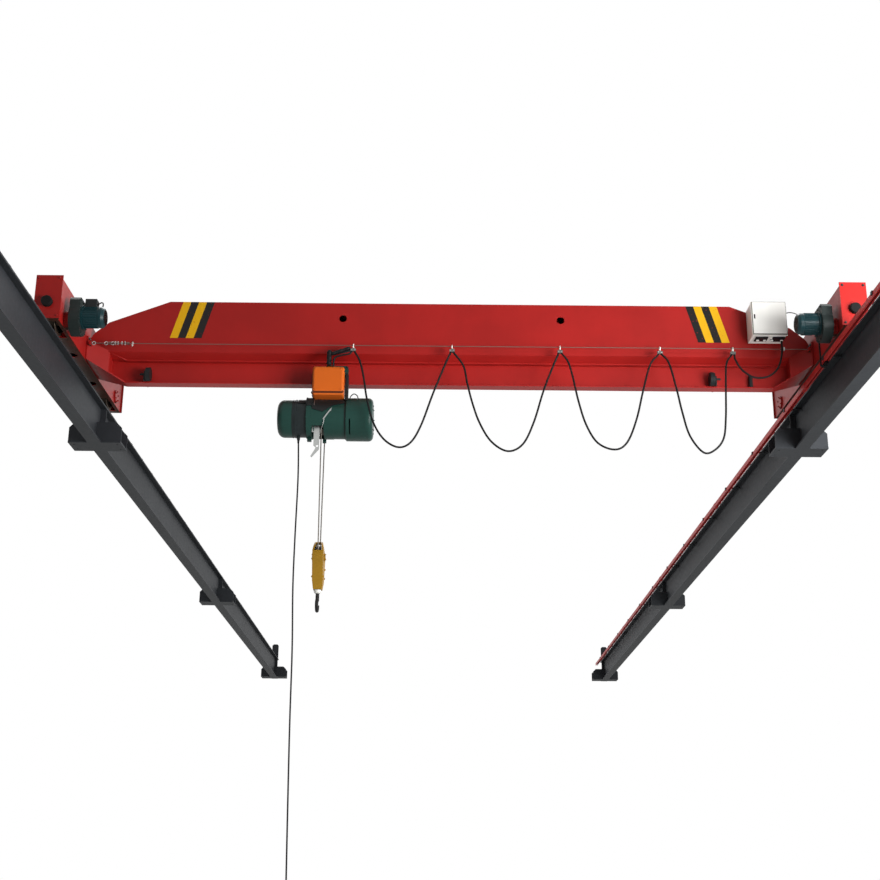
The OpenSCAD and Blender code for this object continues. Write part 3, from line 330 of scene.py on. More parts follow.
runway_paint = paint("runway_paint", (48, 51, 55), 0.6, dusty=0.3, shade=0.25, grain=0.00008)
hoist_paint = paint("hoist_paint", (24, 60, 53), 0.4, shade=0.22)
motor_paint = paint("motor_paint", (17, 52, 57), 0.36, shade=0.2)
gear_paint = paint("gear_paint", (32, 41, 40), 0.52, dusty=0.2, shade=0.25)
duct_paint = paint("duct_paint", (192, 44, 42), 0.45, shade=0.15, grain=0.0001)
panel_paint = paint("panel_paint", (252, 251, 246), 0.4, dusty=0.08, shade=0.03)
box_paint = paint("box_paint", (208, 98, 28), 0.38, dusty=0.12, shade=0.12)
block_paint = paint("block_paint", (158, 118, 26), 0.5, dusty=0.2, shade=0.35, grain=0.00005)
black_paint = paint("black_paint", (26, 29, 30), 0.55, shade=0.3)
hook_paint = paint("hook_paint", (20, 19, 19), 0.6, dusty=0.05, shade=0.3)

# %% [markdown]
# The girder carries warning stripes near both ends, sprayed straight on the red of its
# side plates. Paint has no thickness worth modelling, so the stripes are a pattern in
# the material. Measured from the nearer rail, both blocks are the same: four bands that
# lean outwards towards the top, yellow first.
# %% Crane red with warning stripes
SPAN = 7.5
STRIPE_MIDDLE = 1.128
STRIPE_LOW = 0.822
STRIPE_CENTRE_Z = 1.013
STRIPE_LEAN = 0.285
BAND_W = 0.080
BANDS = 4
TROUGH_FACE = 0.169
CARRIAGE_HALF = 0.175


def crane_red():
    """The red coat, its warning stripes, and painted shade under the carriages."""
    made = paint_coat("crane_red", srgb(164, 30, 27), 0.4, dusty=0.3, shade=0.2)
    coat = made.so_far("Base Color")
    x, y, z = made.axes()
    from_rail = SPAN / 2 - (x - SPAN / 2).absolute()
    lean = (z - STRIPE_CENTRE_Z) * STRIPE_LEAN
    across = from_rail - STRIPE_MIDDLE - lean + BANDS * BAND_W / 2
    inside = across.above(0) * across.below(BANDS * BAND_W) * z.above(STRIPE_LOW)
    on_face = y.absolute().above(TROUGH_FACE) * made.facing()[1].absolute().above(0.9)
    band = (across / BAND_W).math("MODULO", 2.0).above(1.0)
    worn = made.noise(38.0, 4.0, seed=2.2).ramp(0.28, 0.36)
    stripe = made.mix(band, srgb(226, 172, 22), srgb(16, 14, 13))
    striped = made.mix(inside * on_face * worn, coat, stripe)
    # Downward faces over the carriages are mixed towards dark brown with a cloudy noise: painted
    # shade on the carriages' undersides.
    under = (0.0 - made.facing()[2]).ramp(0.85, 0.97) * from_rail.below(CARRIAGE_HALF)
    underside_shade = under * (made.noise(5.0, 4.0, seed=6.0).ramp(0.2, 0.5) * 0.4 + 0.55)
    made.set("Base Color", made.mix(underside_shade, striped, srgb(58, 42, 33)))
    return made.material


red_paint = crane_red()

# %% [markdown]
# The hoist's motor is coloured darker in a ring between its hood and its flange. The ring
# starts at a known place along X, so a step in X is all its mask needs.
# %% Banded motor paint
BAND_START = 2.181


def banded_motor():
    made = paint_coat("banded_paint", srgb(24, 60, 53), 0.4, shade=0.22)
    coat = made.so_far("Base Color")
    clouds = made.noise(7.0, 4.0, seed=9.0).ramp(0.3, 0.7)
    dark = made.mix(clouds, srgb(22, 29, 30), srgb(32, 40, 42))
    made.set("Base Color", made.mix(made.axes()[0].above(BAND_START), coat, dark))
    return made.material


banded_paint = banded_motor()

# %% [markdown]
# Bare steel is told from paint by its reflection: metallic is 1, and roughness does the
# work. A rail's head is rolled bright while its sides rust. Zinc is a pale grey with a
# faint spangle. The rope is steel with grease in its lays.
# %% Bare metals


def bare_metal(name, color, roughness, brushed=(1, 1, 1), rust=0.0, grain=60.0):
    """Metal with drawn-out brushing and, where it is wanted, brown rust in patches."""
    finish = Finish(name, color, roughness, metallic=1.0)
    lines = finish.noise(grain, 4.0, stretch=brushed)
    patches = finish.noise(3.0, 5.0, seed=8.0).ramp(0.5, 0.72) * rust
    shaded = finish.mix(lines.ramp(0.3, 0.7), darker(color, 0.22), color)
    finish.set("Base Color", finish.mix(patches, shaded, srgb(92, 56, 34)))
    finish.set("Roughness", (lines - 0.5) * 0.25 + roughness + patches * 0.3)
    finish.set("Metallic", 1.0 - patches * 0.9)
    finish.bump(lines, 0.0002, 0.3)
    return finish


def metal(name, levels, roughness, **wear):
    """Bare metal from its colour on a screen."""
    return bare_metal(name, srgb(*levels), roughness, **wear).material


def rail_metal():
    """A rail: bright where the wheels roll, rusty brown down its sides."""
    finish = bare_metal("rail_metal", srgb(150, 148, 142), 0.38, brushed=(1, 0.05, 1), rust=0.5)
    sides = 1.0 - finish.facing()[2].ramp(0.6, 0.95)
    clouds = finish.noise(14.0, 5.0, seed=4.0).ramp(0.35, 0.65)
    brown = finish.mix(clouds, srgb(58, 46, 40), srgb(96, 66, 46))
    finish.set("Base Color", finish.mix(sides * 0.85, finish.so_far("Base Color"), brown))
    finish.set("Metallic", 1.0 - sides * 0.8)
    return finish.material


rail_steel = rail_metal()
wheel_steel = metal("wheel_steel", (78, 70, 62), 0.5, rust=0.7)
zinc = metal("zinc", (184, 186, 184), 0.38, grain=120.0)
bright_steel = metal("bright_steel", (176, 178, 176), 0.3, brushed=(1, 1, 0.1))
dark_steel = metal("dark_steel", (66, 68, 70), 0.48, rust=0.2)
wire_steel = metal("wire_steel", (124, 98, 92), 0.55, rust=0.4)
rope_steel = metal("rope_steel", (104, 100, 94), 0.45, grain=300.0)
sheave_iron = metal("sheave_iron", (72, 70, 66), 0.5, rust=0.3)

# %% [markdown]
# Rubber and plastic have no metal in them and a soft sheen. The black cable has a
# slightly dusty jacket. The nylon rings on the carrier wire are nearly white.
# %% Rubber and plastic


def soft_coat(name, levels, roughness, grain=90.0, dust=0.1, sheen=0.15):
    """Rubber or plastic from its colour on a screen, with a little dust on top."""
    color = srgb(*levels)
    finish = Finish(name, color, roughness, **{"Specular IOR Level": sheen})
    clouds = finish.noise(grain)
    coat = finish.mix(clouds.ramp(0.3, 0.7), darker(color, 0.2), color)
    film = finish.facing()[2].ramp(0.4, 0.9) * dust
    finish.set("Base Color", finish.mix(film, coat, srgb(140, 136, 128)))
    finish.set("Roughness", (clouds - 0.5) * 0.2 + roughness)
    finish.bump(clouds, 0.0003, 0.4)
    return finish.material


cable_rubber = soft_coat("cable_rubber", (17, 17, 18), 0.5, dust=0.03)
buffer_rubber = soft_coat("buffer_rubber", (22, 20, 20), 0.8, grain=60.0, dust=0.12)
white_nylon = soft_coat("white_nylon", (234, 234, 228), 0.4, dust=0.15, sheen=0.4)
# A dark brown for the strip under the orange lid: a painted shadow line.
shadow_line_brown = soft_coat("shadow_line_brown", (96, 46, 24), 0.7)
# A grey for the strip round the panel door: a painted shadow line.
shadow_line_grey = soft_coat("shadow_line_grey", (112, 106, 98), 0.7)
black_plastic = soft_coat("black_plastic", (24, 24, 26), 0.42, grain=200.0)

# %% [markdown]
# Each carrier is a white ring with a darker cable clamp under it. They are one packed
# piece, so the material tells them apart by height, with a soft step between the two.
# %% Ring and clamp
CLAMP_TOP = 0.671
CLAMP_STEP = 0.002


def ring_and_clamp():
    finish = Finish("ring_nylon", srgb(236, 236, 230), 0.42)
    clouds = finish.noise(110.0)
    cloudy = clouds.ramp(0.3, 0.7)
    ring = finish.mix(cloudy, srgb(222, 221, 212), srgb(238, 238, 232))
    clamp = finish.mix(cloudy, srgb(72, 72, 70), srgb(104, 104, 100))
    height = finish.axes()[2].ramp(CLAMP_TOP - CLAMP_STEP, CLAMP_TOP + CLAMP_STEP)
    finish.set("Base Color", finish.mix(height, clamp, ring))
    finish.set("Roughness", (clouds - 0.5) * 0.2 + 0.42)
    finish.bump(clouds, 0.0002, 0.4)
    return finish.material


ring_nylon = ring_and_clamp()

# %% [markdown]
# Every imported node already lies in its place. Giving it a finish means putting a
# material in its slot. The table below is the crane's paint list.
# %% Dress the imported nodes
PAINT_LIST = {
    runway_paint: ["runway_beam_left", "runway_beam_right", "rail_stops", "duct_hangers"],
    rail_steel: ["crane_rails"],
    duct_paint: ["conductor_rail"],
    red_paint: ["girder_box", "girder_i_beam", "girder_end_left", "girder_end_right",
                "end_carriage_left", "end_carriage_right", "panel_brackets", "wire_brackets"],
    buffer_rubber: ["carriage_buffers"],
    gear_paint: ["drive_gearboxes"],
    motor_paint: ["drive_motors"],
    panel_paint: ["control_panel"],
    black_paint: ["trolley_stops", "trolley_side_plates", "suspension_frame"],
    zinc: ["rope_anchor"],
    wire_steel: ["festoon_wire"],
    ring_nylon: ["festoon_end_clamp", "tow_rings", "festoon_carrier_1", "festoon_carrier_2",
                 "festoon_carrier_3"],
    black_plastic: ["current_collector"],
    wheel_steel: ["wheel_front_left", "wheel_rear_left", "wheel_front_right",
                  "wheel_rear_right", "trolley_wheels"],
    hoist_paint: ["trolley_motor", "drum_housing", "hoist_gearbox"],
    banded_paint: ["hoist_motor"],
    box_paint: ["hoist_electric_box", "pendant_station"],
    dark_steel: ["tow_arm"],
    sheave_iron: ["rope_sheave", "hoist_drum", "rope_guide", "hook_latch"],
    cable_rubber: ["pendant_cable", "festoon_loop_1", "festoon_loop_2", "festoon_loop_3",
                   "festoon_loop_4", "panel_lead", "trolley_lead"],
    rope_steel: ["hoist_ropes"],
    block_paint: ["hook_block"],
    hook_paint: ["hook"],
}
for material, names in PAINT_LIST.items():
    for name in names:
        mesh = nodes[name].data
        mesh.materials.clear()
        mesh.materials.append(material)
unpainted = sorted(set(nodes) - {name for names in PAINT_LIST.values() for name in names})
print("nodes without a finish:", unpainted)

# %% [markdown]
# A cable is a fixed length of something flexible. Its route is a short list of points,
# and a smooth curve through them gives the cable its even bends. A ring of points is
# carried along that curve and turned as little as possible from step to step, so the
# tube doesn't twist. The Catmull-Rom formula passes through every chosen point.
# %% Cable helper
CABLE_SIDES = 14
CURVE_STEPS = 6


def smooth_route(route, steps=CURVE_STEPS):
    """Points of a smooth curve through the route, with steps to each stretch."""
    knots = [Vector(p) for p in route]
    knots = [2 * knots[0] - knots[1], *knots, 2 * knots[-1] - knots[-2]]
    line = []
    for a, b, c, d in zip(knots, knots[1:], knots[2:], knots[3:]):
        for i in range(steps):
            t = i / steps
            line.append(0.5 * (2 * b + (c - a) * t + (2 * a - 5 * b + 4 * c - d) * t * t
                               + (3 * b - a - 3 * c + d) * t ** 3))
    return line + [knots[-2]]


def line_length(line):
    return sum((b - a).length for a, b in zip(line, line[1:]))


def tube_points(line, radius, sides=CABLE_SIDES):
    """The points and faces of a closed tube along a line."""
    ways = [(b - a).normalized() for a, b in zip(line[:1] + line, line[1:] + line[-1:])]
    side = ways[0].orthogonal().normalized()
    points = []
    for middle, way in zip(line, ways):
        side = (side - way * side.dot(way)).normalized()
        other = way.cross(side)
        points += [middle + radius * (math.cos(a) * side + math.sin(a) * other)
                   for a in turns(sides)]
    return points, tube_faces(len(line), sides)


def cable(name, route, radius, material=cable_rubber, sides=CABLE_SIDES):
    """A smooth tube along a route. Returns the piece and the line that it follows."""
    line = smooth_route(route)
    return new_piece(name, *tube_points(line, radius, sides), material, smooth=True), line


def declare_cord(piece, route, line, radius, far_end="object", **more):
    """Prints the length of a cord's line."""
    line_length(line)
    print(piece.name, round(line_length(line), 3), "m")


# %% [markdown]
# The festoon hangs in four loops from white rings on the carrier wire. When the trolley
# runs, each ring follows by its share and the loops close up or spread. Here every loop
# is a cable of its own, laid between the two rings that hold it. The last loop ends at a
# fixed clamp, between girder and trolley, and the share of the travel that its ring keeps
# is worked out and printed.
# %% Festoon loops
CABLE_R = 0.010
WIRE_Y = -0.300
TOW_X = 2.782
CARRIER_X = (3.770, 4.850, 5.850)
HALVINGS = 40
# Each loop has its two bodies, its lean out of the row and its route in X and Z. The lean
# keeps the loops apart when they are gathered.
LOOPS = {
    "festoon_loop_1": ("trolley", "carrier_1", 0, [
        (2.796, 0.640), (2.850, 0.540), (2.890, 0.380), (2.930, 0.140), (3.000, -0.110),
        (3.109, -0.284), (3.250, -0.362), (3.370, -0.310), (3.470, -0.130), (3.580, 0.190),
        (3.690, 0.480), (3.756, 0.640)]),
    "festoon_loop_2": ("carrier_1", "carrier_2", 0.022, [
        (3.784, 0.640), (3.884, 0.504), (3.922, 0.324), (3.970, 0.124), (4.044, -0.095),
        (4.160, -0.290), (4.321, -0.386), (4.470, -0.310), (4.580, -0.080), (4.673, 0.225),
        (4.760, 0.460), (4.836, 0.640)]),
    "festoon_loop_3": ("carrier_2", "carrier_3", 0, [
        (4.864, 0.640), (4.930, 0.545), (4.975, 0.370), (5.020, 0.140), (5.090, -0.110),
        (5.200, -0.300), (5.366, -0.367), (5.490, -0.290), (5.590, -0.050), (5.665, 0.245),
        (5.745, 0.520), (5.836, 0.640)]),
    "festoon_loop_4": ("bridge", "trolley", -0.032, [
        (5.864, 0.640), (5.930, 0.530), (5.992, 0.259), (6.036, 0.020), (6.100, -0.230),
        (6.225, -0.400), (6.340, -0.370), (6.430, -0.250), (6.463, -0.031), (6.480, 0.250),
        (6.500, 0.520), (6.566, 0.640)]),
}


def smoothstep_place(share):
    """Where a smoothstep reaches this share, found by halving."""
    low, high = 0.0, 1.0
    for _ in range(HALVINGS):
        middle = (low + high) / 2
        if middle * middle * (3 - 2 * middle) < share:
            low = middle
        else:
            high = middle
    return low


def hang_loop(node, first, last, lean, places):
    """One festoon loop, laid as a cable between its rings, with its length printed."""
    leans = [0] + [lean] * (len(places) - 2) + [0]
    route = [(x, WIRE_Y + out, z) for (x, z), out in zip(places, leans)]
    piece, line = cable(node.replace("festoon", "hung"), route, CABLE_R)
    start, end = Vector(route[0]), Vector(route[-1])
    start.z = end.z = 0
    if first == "bridge":
        share = (end.x - start.x) / (end.x - TOW_X)
        start, end = end, end + (start - end) / smoothstep_place(share)
        print("last loop's ring keeps", round(share, 4), "of the travel")
    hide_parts(node)
    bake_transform(piece)
    declare_cord(piece, route, line, CABLE_R)


for node, loop in LOOPS.items():
    hang_loop(node, *loop)

# %% [markdown]
# Three more runs of cable: the lead from the last clamp to the control panel, the short
# lead from the tow clamp into the orange box, and the long pendant that hangs beside
# the hook with its push-button station. The pendant's end hangs below the picture's
# lower edge, at the height of an operator's hands.
# %% Panel lead, trolley lead and pendant
PENDANT_R = 0.008
THIN_R = 0.005
PANEL_LEAD = [(6.594, -0.300, 0.640), (6.600, -0.300, 0.590), (6.660, -0.300, 0.480),
              (6.780, -0.300, 0.400), (6.920, -0.306, 0.410), (7.020, -0.318, 0.500),
              (7.064, -0.328, 0.650), (7.070, -0.330, 0.779)]
MOTOR_LEAD = [(7.1043, -0.320, 1.080), (7.160, -0.400, 1.060), (7.182, -0.560, 0.970),
              (7.170, -0.740, 0.860), (7.146, -0.860, 0.790), (7.136, -0.920, 0.740),
              (7.136, -0.928, 0.705)]
TROLLEY_LEAD = [(2.768, -0.300, 0.640), (2.746, -0.304, 0.612), (2.700, -0.306, 0.602),
                (2.640, -0.306, 0.588), (2.604, -0.304, 0.570), (2.590, -0.296, 0.540),
                (2.588, -0.282, 0.512), (2.588, -0.270, 0.4883)]
GEARBOX_LEAD = [(2.754, -0.150, 0.1835), (2.760, -0.150, 0.214), (2.792, -0.150, 0.242),
                (2.826, -0.150, 0.222), (2.836, -0.150, 0.1835)]
PENDANT = [(2.240, 0, -0.1883), (2.252, 0, -0.600), (2.246, 0, -1.200), (2.246, 0, -1.700),
           (2.264, 0, -2.300), (2.270, 0, -3.000), (2.284, 0, -3.800), (2.298, 0, -4.500)]


def lay_lead(name, node, route, body, radius=CABLE_R):
    """A cable that rides on one body. Returns the piece and its line."""
    piece, line = cable(name, route, radius)
    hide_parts(node)
    return fit(piece, body), line


for name, route, radius in (("hung_panel_lead", PANEL_LEAD, CABLE_R),
                            ("hung_motor_lead", MOTOR_LEAD, THIN_R)):
    piece, line = lay_lead(name, "panel_lead", route, "bridge", radius)
    declare_cord(piece, route, line, radius)
lay_lead("tied_trolley_lead", "trolley_lead", TROLLEY_LEAD, "trolley")
lay_lead("gearbox_lead", "trolley_lead", GEARBOX_LEAD, "trolley", THIN_R)
pendant, pendant_line = lay_lead("hung_pendant_cable", "pendant_cable", PENDANT, "trolley",
                                 PENDANT_R)

# %% [markdown]
# Bolts, clips and fins repeat by the hundred. Each is modelled once, as a small turned
# piece at the origin with its head towards +Z. A Geometry Nodes group then sets a copy
# on every point of a point list, turned by the angles that the point carries. The result
# is made into one plain mesh for each body, because it has to ride with that body.
# %% Repeat helper
UP, DOWN, FRONT = (0, 0, 1), (0, 0, -1), (0, -1, 0)
LEFT, RIGHT = (-1, 0, 0), (1, 0, 0)
BOTH = (-1, 1)


def turned(name, *shapes):
    """A small piece of turned shapes: each has its sides and its (radius, height) steps."""
    points, faces = [], []
    for sides, profile in shapes:
        faces += tube_faces(len(profile), sides, len(points))
        points += [(radius * math.cos(a), radius * math.sin(a), height)
                   for radius, height in profile for a in turns(sides)]
    return new_piece(name, points, faces)


def rounded_block(name, low, high, edge, material=None, steps=2):
    """A block between two corners, with its edges rounded."""
    low, high = Vector(low), Vector(high)
    form = bmesh.new()
    bmesh.ops.create_cube(form, size=1)
    bmesh.ops.scale(form, vec=high - low, verts=form.verts)
    bmesh.ops.translate(form, vec=(low + high) / 2, verts=form.verts)
    bmesh.ops.bevel(form, geom=form.edges[:], offset=edge, segments=steps, affect="EDGES",
                    profile=0.5)
    mesh = bpy.data.meshes.new(name)
    form.to_mesh(mesh)
    form.free()
    return mesh_object(name, mesh, material)


def repeat_group():
    """The node group: a piece on every point, turned and sized by the point's attributes."""
    group = bpy.data.node_groups.new("repeat_on_points", "GeometryNodeTree")
    for label, kind in (("Points", "Geometry"), ("Piece", "Object"), ("Material", "Material")):
        group.interface.new_socket(label, in_out="INPUT", socket_type="NodeSocket" + kind)
    group.interface.new_socket("Result", in_out="OUTPUT", socket_type="NodeSocketGeometry")
    add = group.nodes.new
    given, result = add("NodeGroupInput"), add("NodeGroupOutput")
    piece = add("GeometryNodeObjectInfo")
    turn, size = (add("GeometryNodeInputNamedAttribute") for _ in range(2))
    for node, label in ((turn, "turn"), (size, "size")):
        node.data_type = "FLOAT_VECTOR"
        node.inputs["Name"].default_value = label
    angles = add("FunctionNodeEulerToRotation")
    place = add("GeometryNodeInstanceOnPoints")
    real = add("GeometryNodeRealizeInstances")
    coat = add("GeometryNodeSetMaterial")
    for source, output, target, socket in (
            (given, "Piece", piece, "Object"), (given, "Points", place, "Points"),
            (piece, "Geometry", place, "Instance"), (turn, "Attribute", angles, 0),
            (angles, 0, place, "Rotation"), (size, "Attribute", place, "Scale"),
            (place, 0, real, 0), (real, 0, coat, "Geometry"),
            (given, "Material", coat, "Material"), (coat, 0, result, 0)):
        group.links.new(source.outputs[output], target.inputs[socket])
    return group


REPEAT = repeat_group()


def spot(place, up, size=1.0, along=None):
    """Where a copy goes: its place, the way its Z points, its size and the way its X points."""
    up = Vector(up).normalized()
    along = Vector(along) if along else up.orthogonal()
    along = (along - up * along.dot(up)).normalized()
    turn = Matrix((along, up.cross(along), up)).transposed().to_euler()
    size = size if hasattr(size, "__len__") else (size, size, size)
    return Vector(place), turn, size


def ring_spots(centre, axis, radius, count, size=1.0, start=0.0, outward=False):
    """Spots on a circle round an axis, with their heads along the axis or outward."""
    axis = Vector(axis).normalized()
    side = Vector(UP) if abs(axis.z) < 0.9 else Vector(RIGHT)
    other = axis.cross(side)
    made = []
    for a in turns(count):
        out = math.cos(a + start) * side + math.sin(a + start) * other
        ways = (out, size, axis) if outward else (axis, size)
        made.append(spot(Vector(centre) + radius * out, *ways))
    return made


def repeat(name, body, piece, spots, material, smooth=False):
    """Sets a copy of the piece on every spot and makes them one mesh that rides on the body."""
    mesh = bpy.data.meshes.new(name + "_points")
    mesh.from_pydata([s[0] for s in spots], [], [])
    for label, column in (("turn", 1), ("size", 2)):
        values = mesh.attributes.new(label, "FLOAT_VECTOR", "POINT")
        values.data.foreach_set("vector", [v for s in spots for v in s[column]])
    holder = mesh_object(name, mesh)
    modifier = holder.modifiers.new("repeat", "NODES")
    modifier.node_group = REPEAT
    for label, value in (("Piece", piece), ("Material", material)):
        modifier[REPEAT.interface.items_tree[label].identifier] = value
    graph = bpy.context.evaluated_depsgraph_get()
    made = bpy.data.meshes.new_from_object(holder.evaluated_get(graph))
    holder.modifiers.clear()
    holder.data = made
    if smooth:
        made.shade_smooth()
    fit(holder, body)
    print(name, len(spots), "copies,", len(made.polygons), "faces")


bolt = turned("bolt_pattern", (20, [(0.021, 0), (0.021, 0.003)]),
              (6, [(0.0173, 0.003), (0.0173, 0.0125), (0.0150, 0.0150)]),
              (12, [(0.0098, 0.0150), (0.0098, 0.0190), (0.0085, 0.0200)]))
screw = turned("screw_pattern", (16, [(0.0060, 0), (0.0060, 0.0016), (0.0045, 0.0034),
                                      (0.0020, 0.0040)]))

# %% [markdown]
# The runway's own fittings. Clips hold the square rail on both sides of the beam, well
# under the wheels' flanges. Each seat is bolted down, and every arm of the conductor
# duct has its bolt. Sleeves join the duct's lengths.
# %% Runway fittings
BEAM_TOP = 0.440
RAIL_HALF = 0.025
CLIP_HALF = 0.021
CLIP_BOLT = 0.025
CLIP_THICK = 0.012
CLIP_PITCH = 0.60
CLIP_MARGIN = 0.2
SUPPORTS = [-7.6, 0.9, 9.4, 17.9]
SEAT_TOP = 0.018
SEAT_BOLT = (0.23, 0.08)
DUCT_MIDDLE = (7.333, 0.373)
SLEEVE = (0.024, 0.06, 0.028)
ARM_PITCH = 1.5
ARM_HALF = 0.020
ARM_THICK = 0.008
ARM_BOLT_X = (7.385, 7.450)


def runway_row(box, margin, pitch):
    """The Y places of a row at an even pitch, with a margin left at its ends."""
    first, last = box[0][1] + margin, box[1][1] - margin
    return [first + i * pitch for i in range(int((last - first) / pitch + 0.001) + 1)]


rail_y = runway_row(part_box("crane_rails"), CLIP_MARGIN, CLIP_PITCH)
clip = rounded_block("clip_pattern", (-CLIP_HALF, -0.026, 0), (CLIP_HALF, 0.026, CLIP_THICK),
                     0.003)
clip_spots = [spot((x + s * (RAIL_HALF + CLIP_HALF), y, BEAM_TOP), UP, 1, (s, 0, 0))
              for x in (0, SPAN) for s in BOTH for y in rail_y]
repeat("rail_clips", "runway", clip, clip_spots, runway_paint)
clip_bolts = [spot((x + s * (RAIL_HALF + CLIP_BOLT), y, BEAM_TOP + CLIP_THICK), UP, 0.6)
              for x in (0, SPAN) for s in BOTH for y in rail_y]
seat_bolts = [spot((x + u * SEAT_BOLT[0], y + v * SEAT_BOLT[1], SEAT_TOP), UP, 1.1)
              for x in (0, SPAN) for y in SUPPORTS for u in BOTH for v in BOTH]
arm_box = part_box("duct_hangers")
arm_y = runway_row(arm_box, ARM_HALF, ARM_PITCH)
arm_bolts = [spot((x, y, arm_box[1][2] - ARM_THICK), DOWN, 0.5)
             for y in arm_y for x in ARM_BOLT_X]
repeat("runway_bolts", "runway", bolt, clip_bolts + seat_bolts + arm_bolts, runway_paint)
sleeve = rounded_block("sleeve_pattern", [-half for half in SLEEVE], SLEEVE, 0.003)
sleeve_spots = [spot((DUCT_MIDDLE[0], y + ARM_PITCH / 2, DUCT_MIDDLE[1]), UP, 1, RIGHT)
                for y in arm_y[1:-1:3]]
repeat("duct_sleeves", "runway", sleeve, sleeve_spots, duct_paint)

# %% [markdown]
# The bridge is bolted together. Cover plates close the carriages' ends, caps hold the
# wheel bearings, and each gear case has bolts round its edge. The motors have cooling
# fins between their mounting ring and the fan cowl.
# %% Bridge fittings
AXLE_Z = 0.6253
MOTOR_Z = 0.6583
WHEEL_Y = 1.05
CAP_FACE = 0.126
CAP_BOLT_R = 0.056
COVER_X = 0.098
COVER_Y = 1.325
COVER_Z = (0.560, 0.938)
FLANGE_BOLT = (0.124, 0.766)
FLANGE_BOLT_Y = (0.272, 0.228, 0.184)
GEAR_FACE = 0.264
CASE_BOLT_R = 0.136
CASE_BOLT_ANGLES = (-75, -45, -15, 15, 45, 75)
CASE_TOP_BOLTS = ((-0.118, 0.715), (0.118, 0.715), (-0.100, 0.798), (0.100, 0.798), (0, 0.804))
MOTOR_R = 0.097
FIN_LENGTH = 0.128
GRILLE_RINGS = (0.072, 0.054, 0.036)
GRILLE_BAR = 0.006


def mirrored(spots):
    """The same spots at the other end of the span."""
    made = []
    for place, turn, size in spots:
        way = turn.to_matrix().col[2]
        made.append(spot((SPAN - place.x, place.y, place.z), (-way.x, way.y, way.z), size))
    return made


def both_ends(spots):
    return spots + mirrored(spots)


def cap_ring(x, side, way):
    return ring_spots((x, side * WHEEL_Y, AXLE_Z), way, CAP_BOLT_R, 6, 0.5)


def case_bolt(y, z):
    return spot((GEAR_FACE, y - WHEEL_Y, z), RIGHT, 0.5)


def motor_face(past_gear_face):
    """The middle of the left motor's axis, this far from its gear case."""
    return GEAR_FACE + past_gear_face, -WHEEL_Y, MOTOR_Z


cover_bolts = [spot((x, s * COVER_Y, z), (0, s, 0), 0.62)
               for x in (-COVER_X, COVER_X) for z in COVER_Z for s in BOTH]
cap_bolts = (cap_ring(-CAP_FACE, -1, LEFT) + cap_ring(-CAP_FACE, 1, LEFT)
             + cap_ring(CAP_FACE, 1, RIGHT))
edge_bolts = [case_bolt(CASE_BOLT_R * math.sin(a), AXLE_Z - CASE_BOLT_R * math.cos(a))
              for a in map(math.radians, CASE_BOLT_ANGLES)]
edge_bolts += [case_bolt(y, z) for y, z in CASE_TOP_BOLTS]
ring_bolts = ring_spots(motor_face(0.016), RIGHT, MOTOR_R + 0.008, 8, 0.3, 0.4)
flange_bolts = [spot((FLANGE_BOLT[0], s * y, FLANGE_BOLT[1]), RIGHT, 0.7)
                for s in BOTH for y in FLANGE_BOLT_Y]
for name, spots, material, slot in (
        ("cover_bolts", mirrored(cover_bolts) + both_ends(flange_bolts), dark_steel,
         "charcoal_steel"),
        ("cover_bolts_left", cover_bolts + both_ends(cap_bolts), red_paint, "crane_red"),
        ("case_bolts", both_ends(edge_bolts), gear_paint, "gear_grey"),
        ("motor_ring_bolts", both_ends(ring_bolts), motor_paint, "motor_teal")):
    repeat(name, "bridge", bolt, spots, material)

fin = rounded_block("fin_pattern", (0, -0.0016, -0.004), (FIN_LENGTH, 0.0016, 0.0065), 0.001,
                    steps=1)
fins = ring_spots(motor_face(0.020), RIGHT, MOTOR_R, 30, outward=True)
fins += [spot((SPAN - place.x - FIN_LENGTH, place.y, place.z), turn.to_matrix().col[2], size,
              RIGHT) for place, turn, size in fins]
repeat("motor_fins", "bridge", fin, fins, motor_paint)
grille = turned("grille_pattern",
                *[(40, [(r, 0), (r, 0.003), (r - GRILLE_BAR, 0.003), (r - GRILLE_BAR, 0)])
                  for r in GRILLE_RINGS],
                (24, [(0.016, 0), (0.016, 0.004), (0.010, 0.005)]))
repeat("cowl_grilles", "bridge", grille, both_ends([spot(motor_face(0.216), RIGHT)]),
       black_plastic)

# %% [markdown]
# The left motor carries its terminal box on top, with a black cover and a short loop of
# cable at its side. The right motor has the same box turned to the back.
# %% Terminal boxes
TERMINAL_BOXES = {
    "terminal_cover": ((0.286, -1.098, 0.742), (0.398, -1.002, 0.833)),
    "terminal_cover_right": ((SPAN - 0.398, -0.965, 0.610), (SPAN - 0.286, -0.874, 0.706)),
}
TERMINAL_LOOP = [(0.398, -1.050, 0.790), (0.428, -1.050, 0.812), (0.446, -1.050, 0.800),
                 (0.444, -1.050, 0.756)]

for name, corners in TERMINAL_BOXES.items():
    fit(rounded_block(name, *corners, 0.008, black_paint, 3), "bridge")
fit(cable("terminal_loop", TERMINAL_LOOP, 0.006)[0], "bridge")

# %% [markdown]
# The two falls of the hoist rope show their lay. A real rope is six strands wound round
# a core. Here the tube's section has six lobes and turns steadily along the fall, which
# gives the same line of light. The falls stretch between the trolley and the block.
# %% Hoist rope
ROPE_R = 0.0062
ROPE_LAY = 0.045
ROPE_SIDES = 24
ROPE_STEP = 0.004
LOBE_DEPTH = 0.16
BLOCK_X = 2.486
SHEAVE_Z = -1.400
FALLS = {
    "drum_fall": ((2.476, -0.1313, 0.022), (BLOCK_X, -0.1163, SHEAVE_Z)),
    "anchored_fall": ((2.492, 0.1163, -0.1903), (BLOCK_X, 0.1163, SHEAVE_Z)),
}


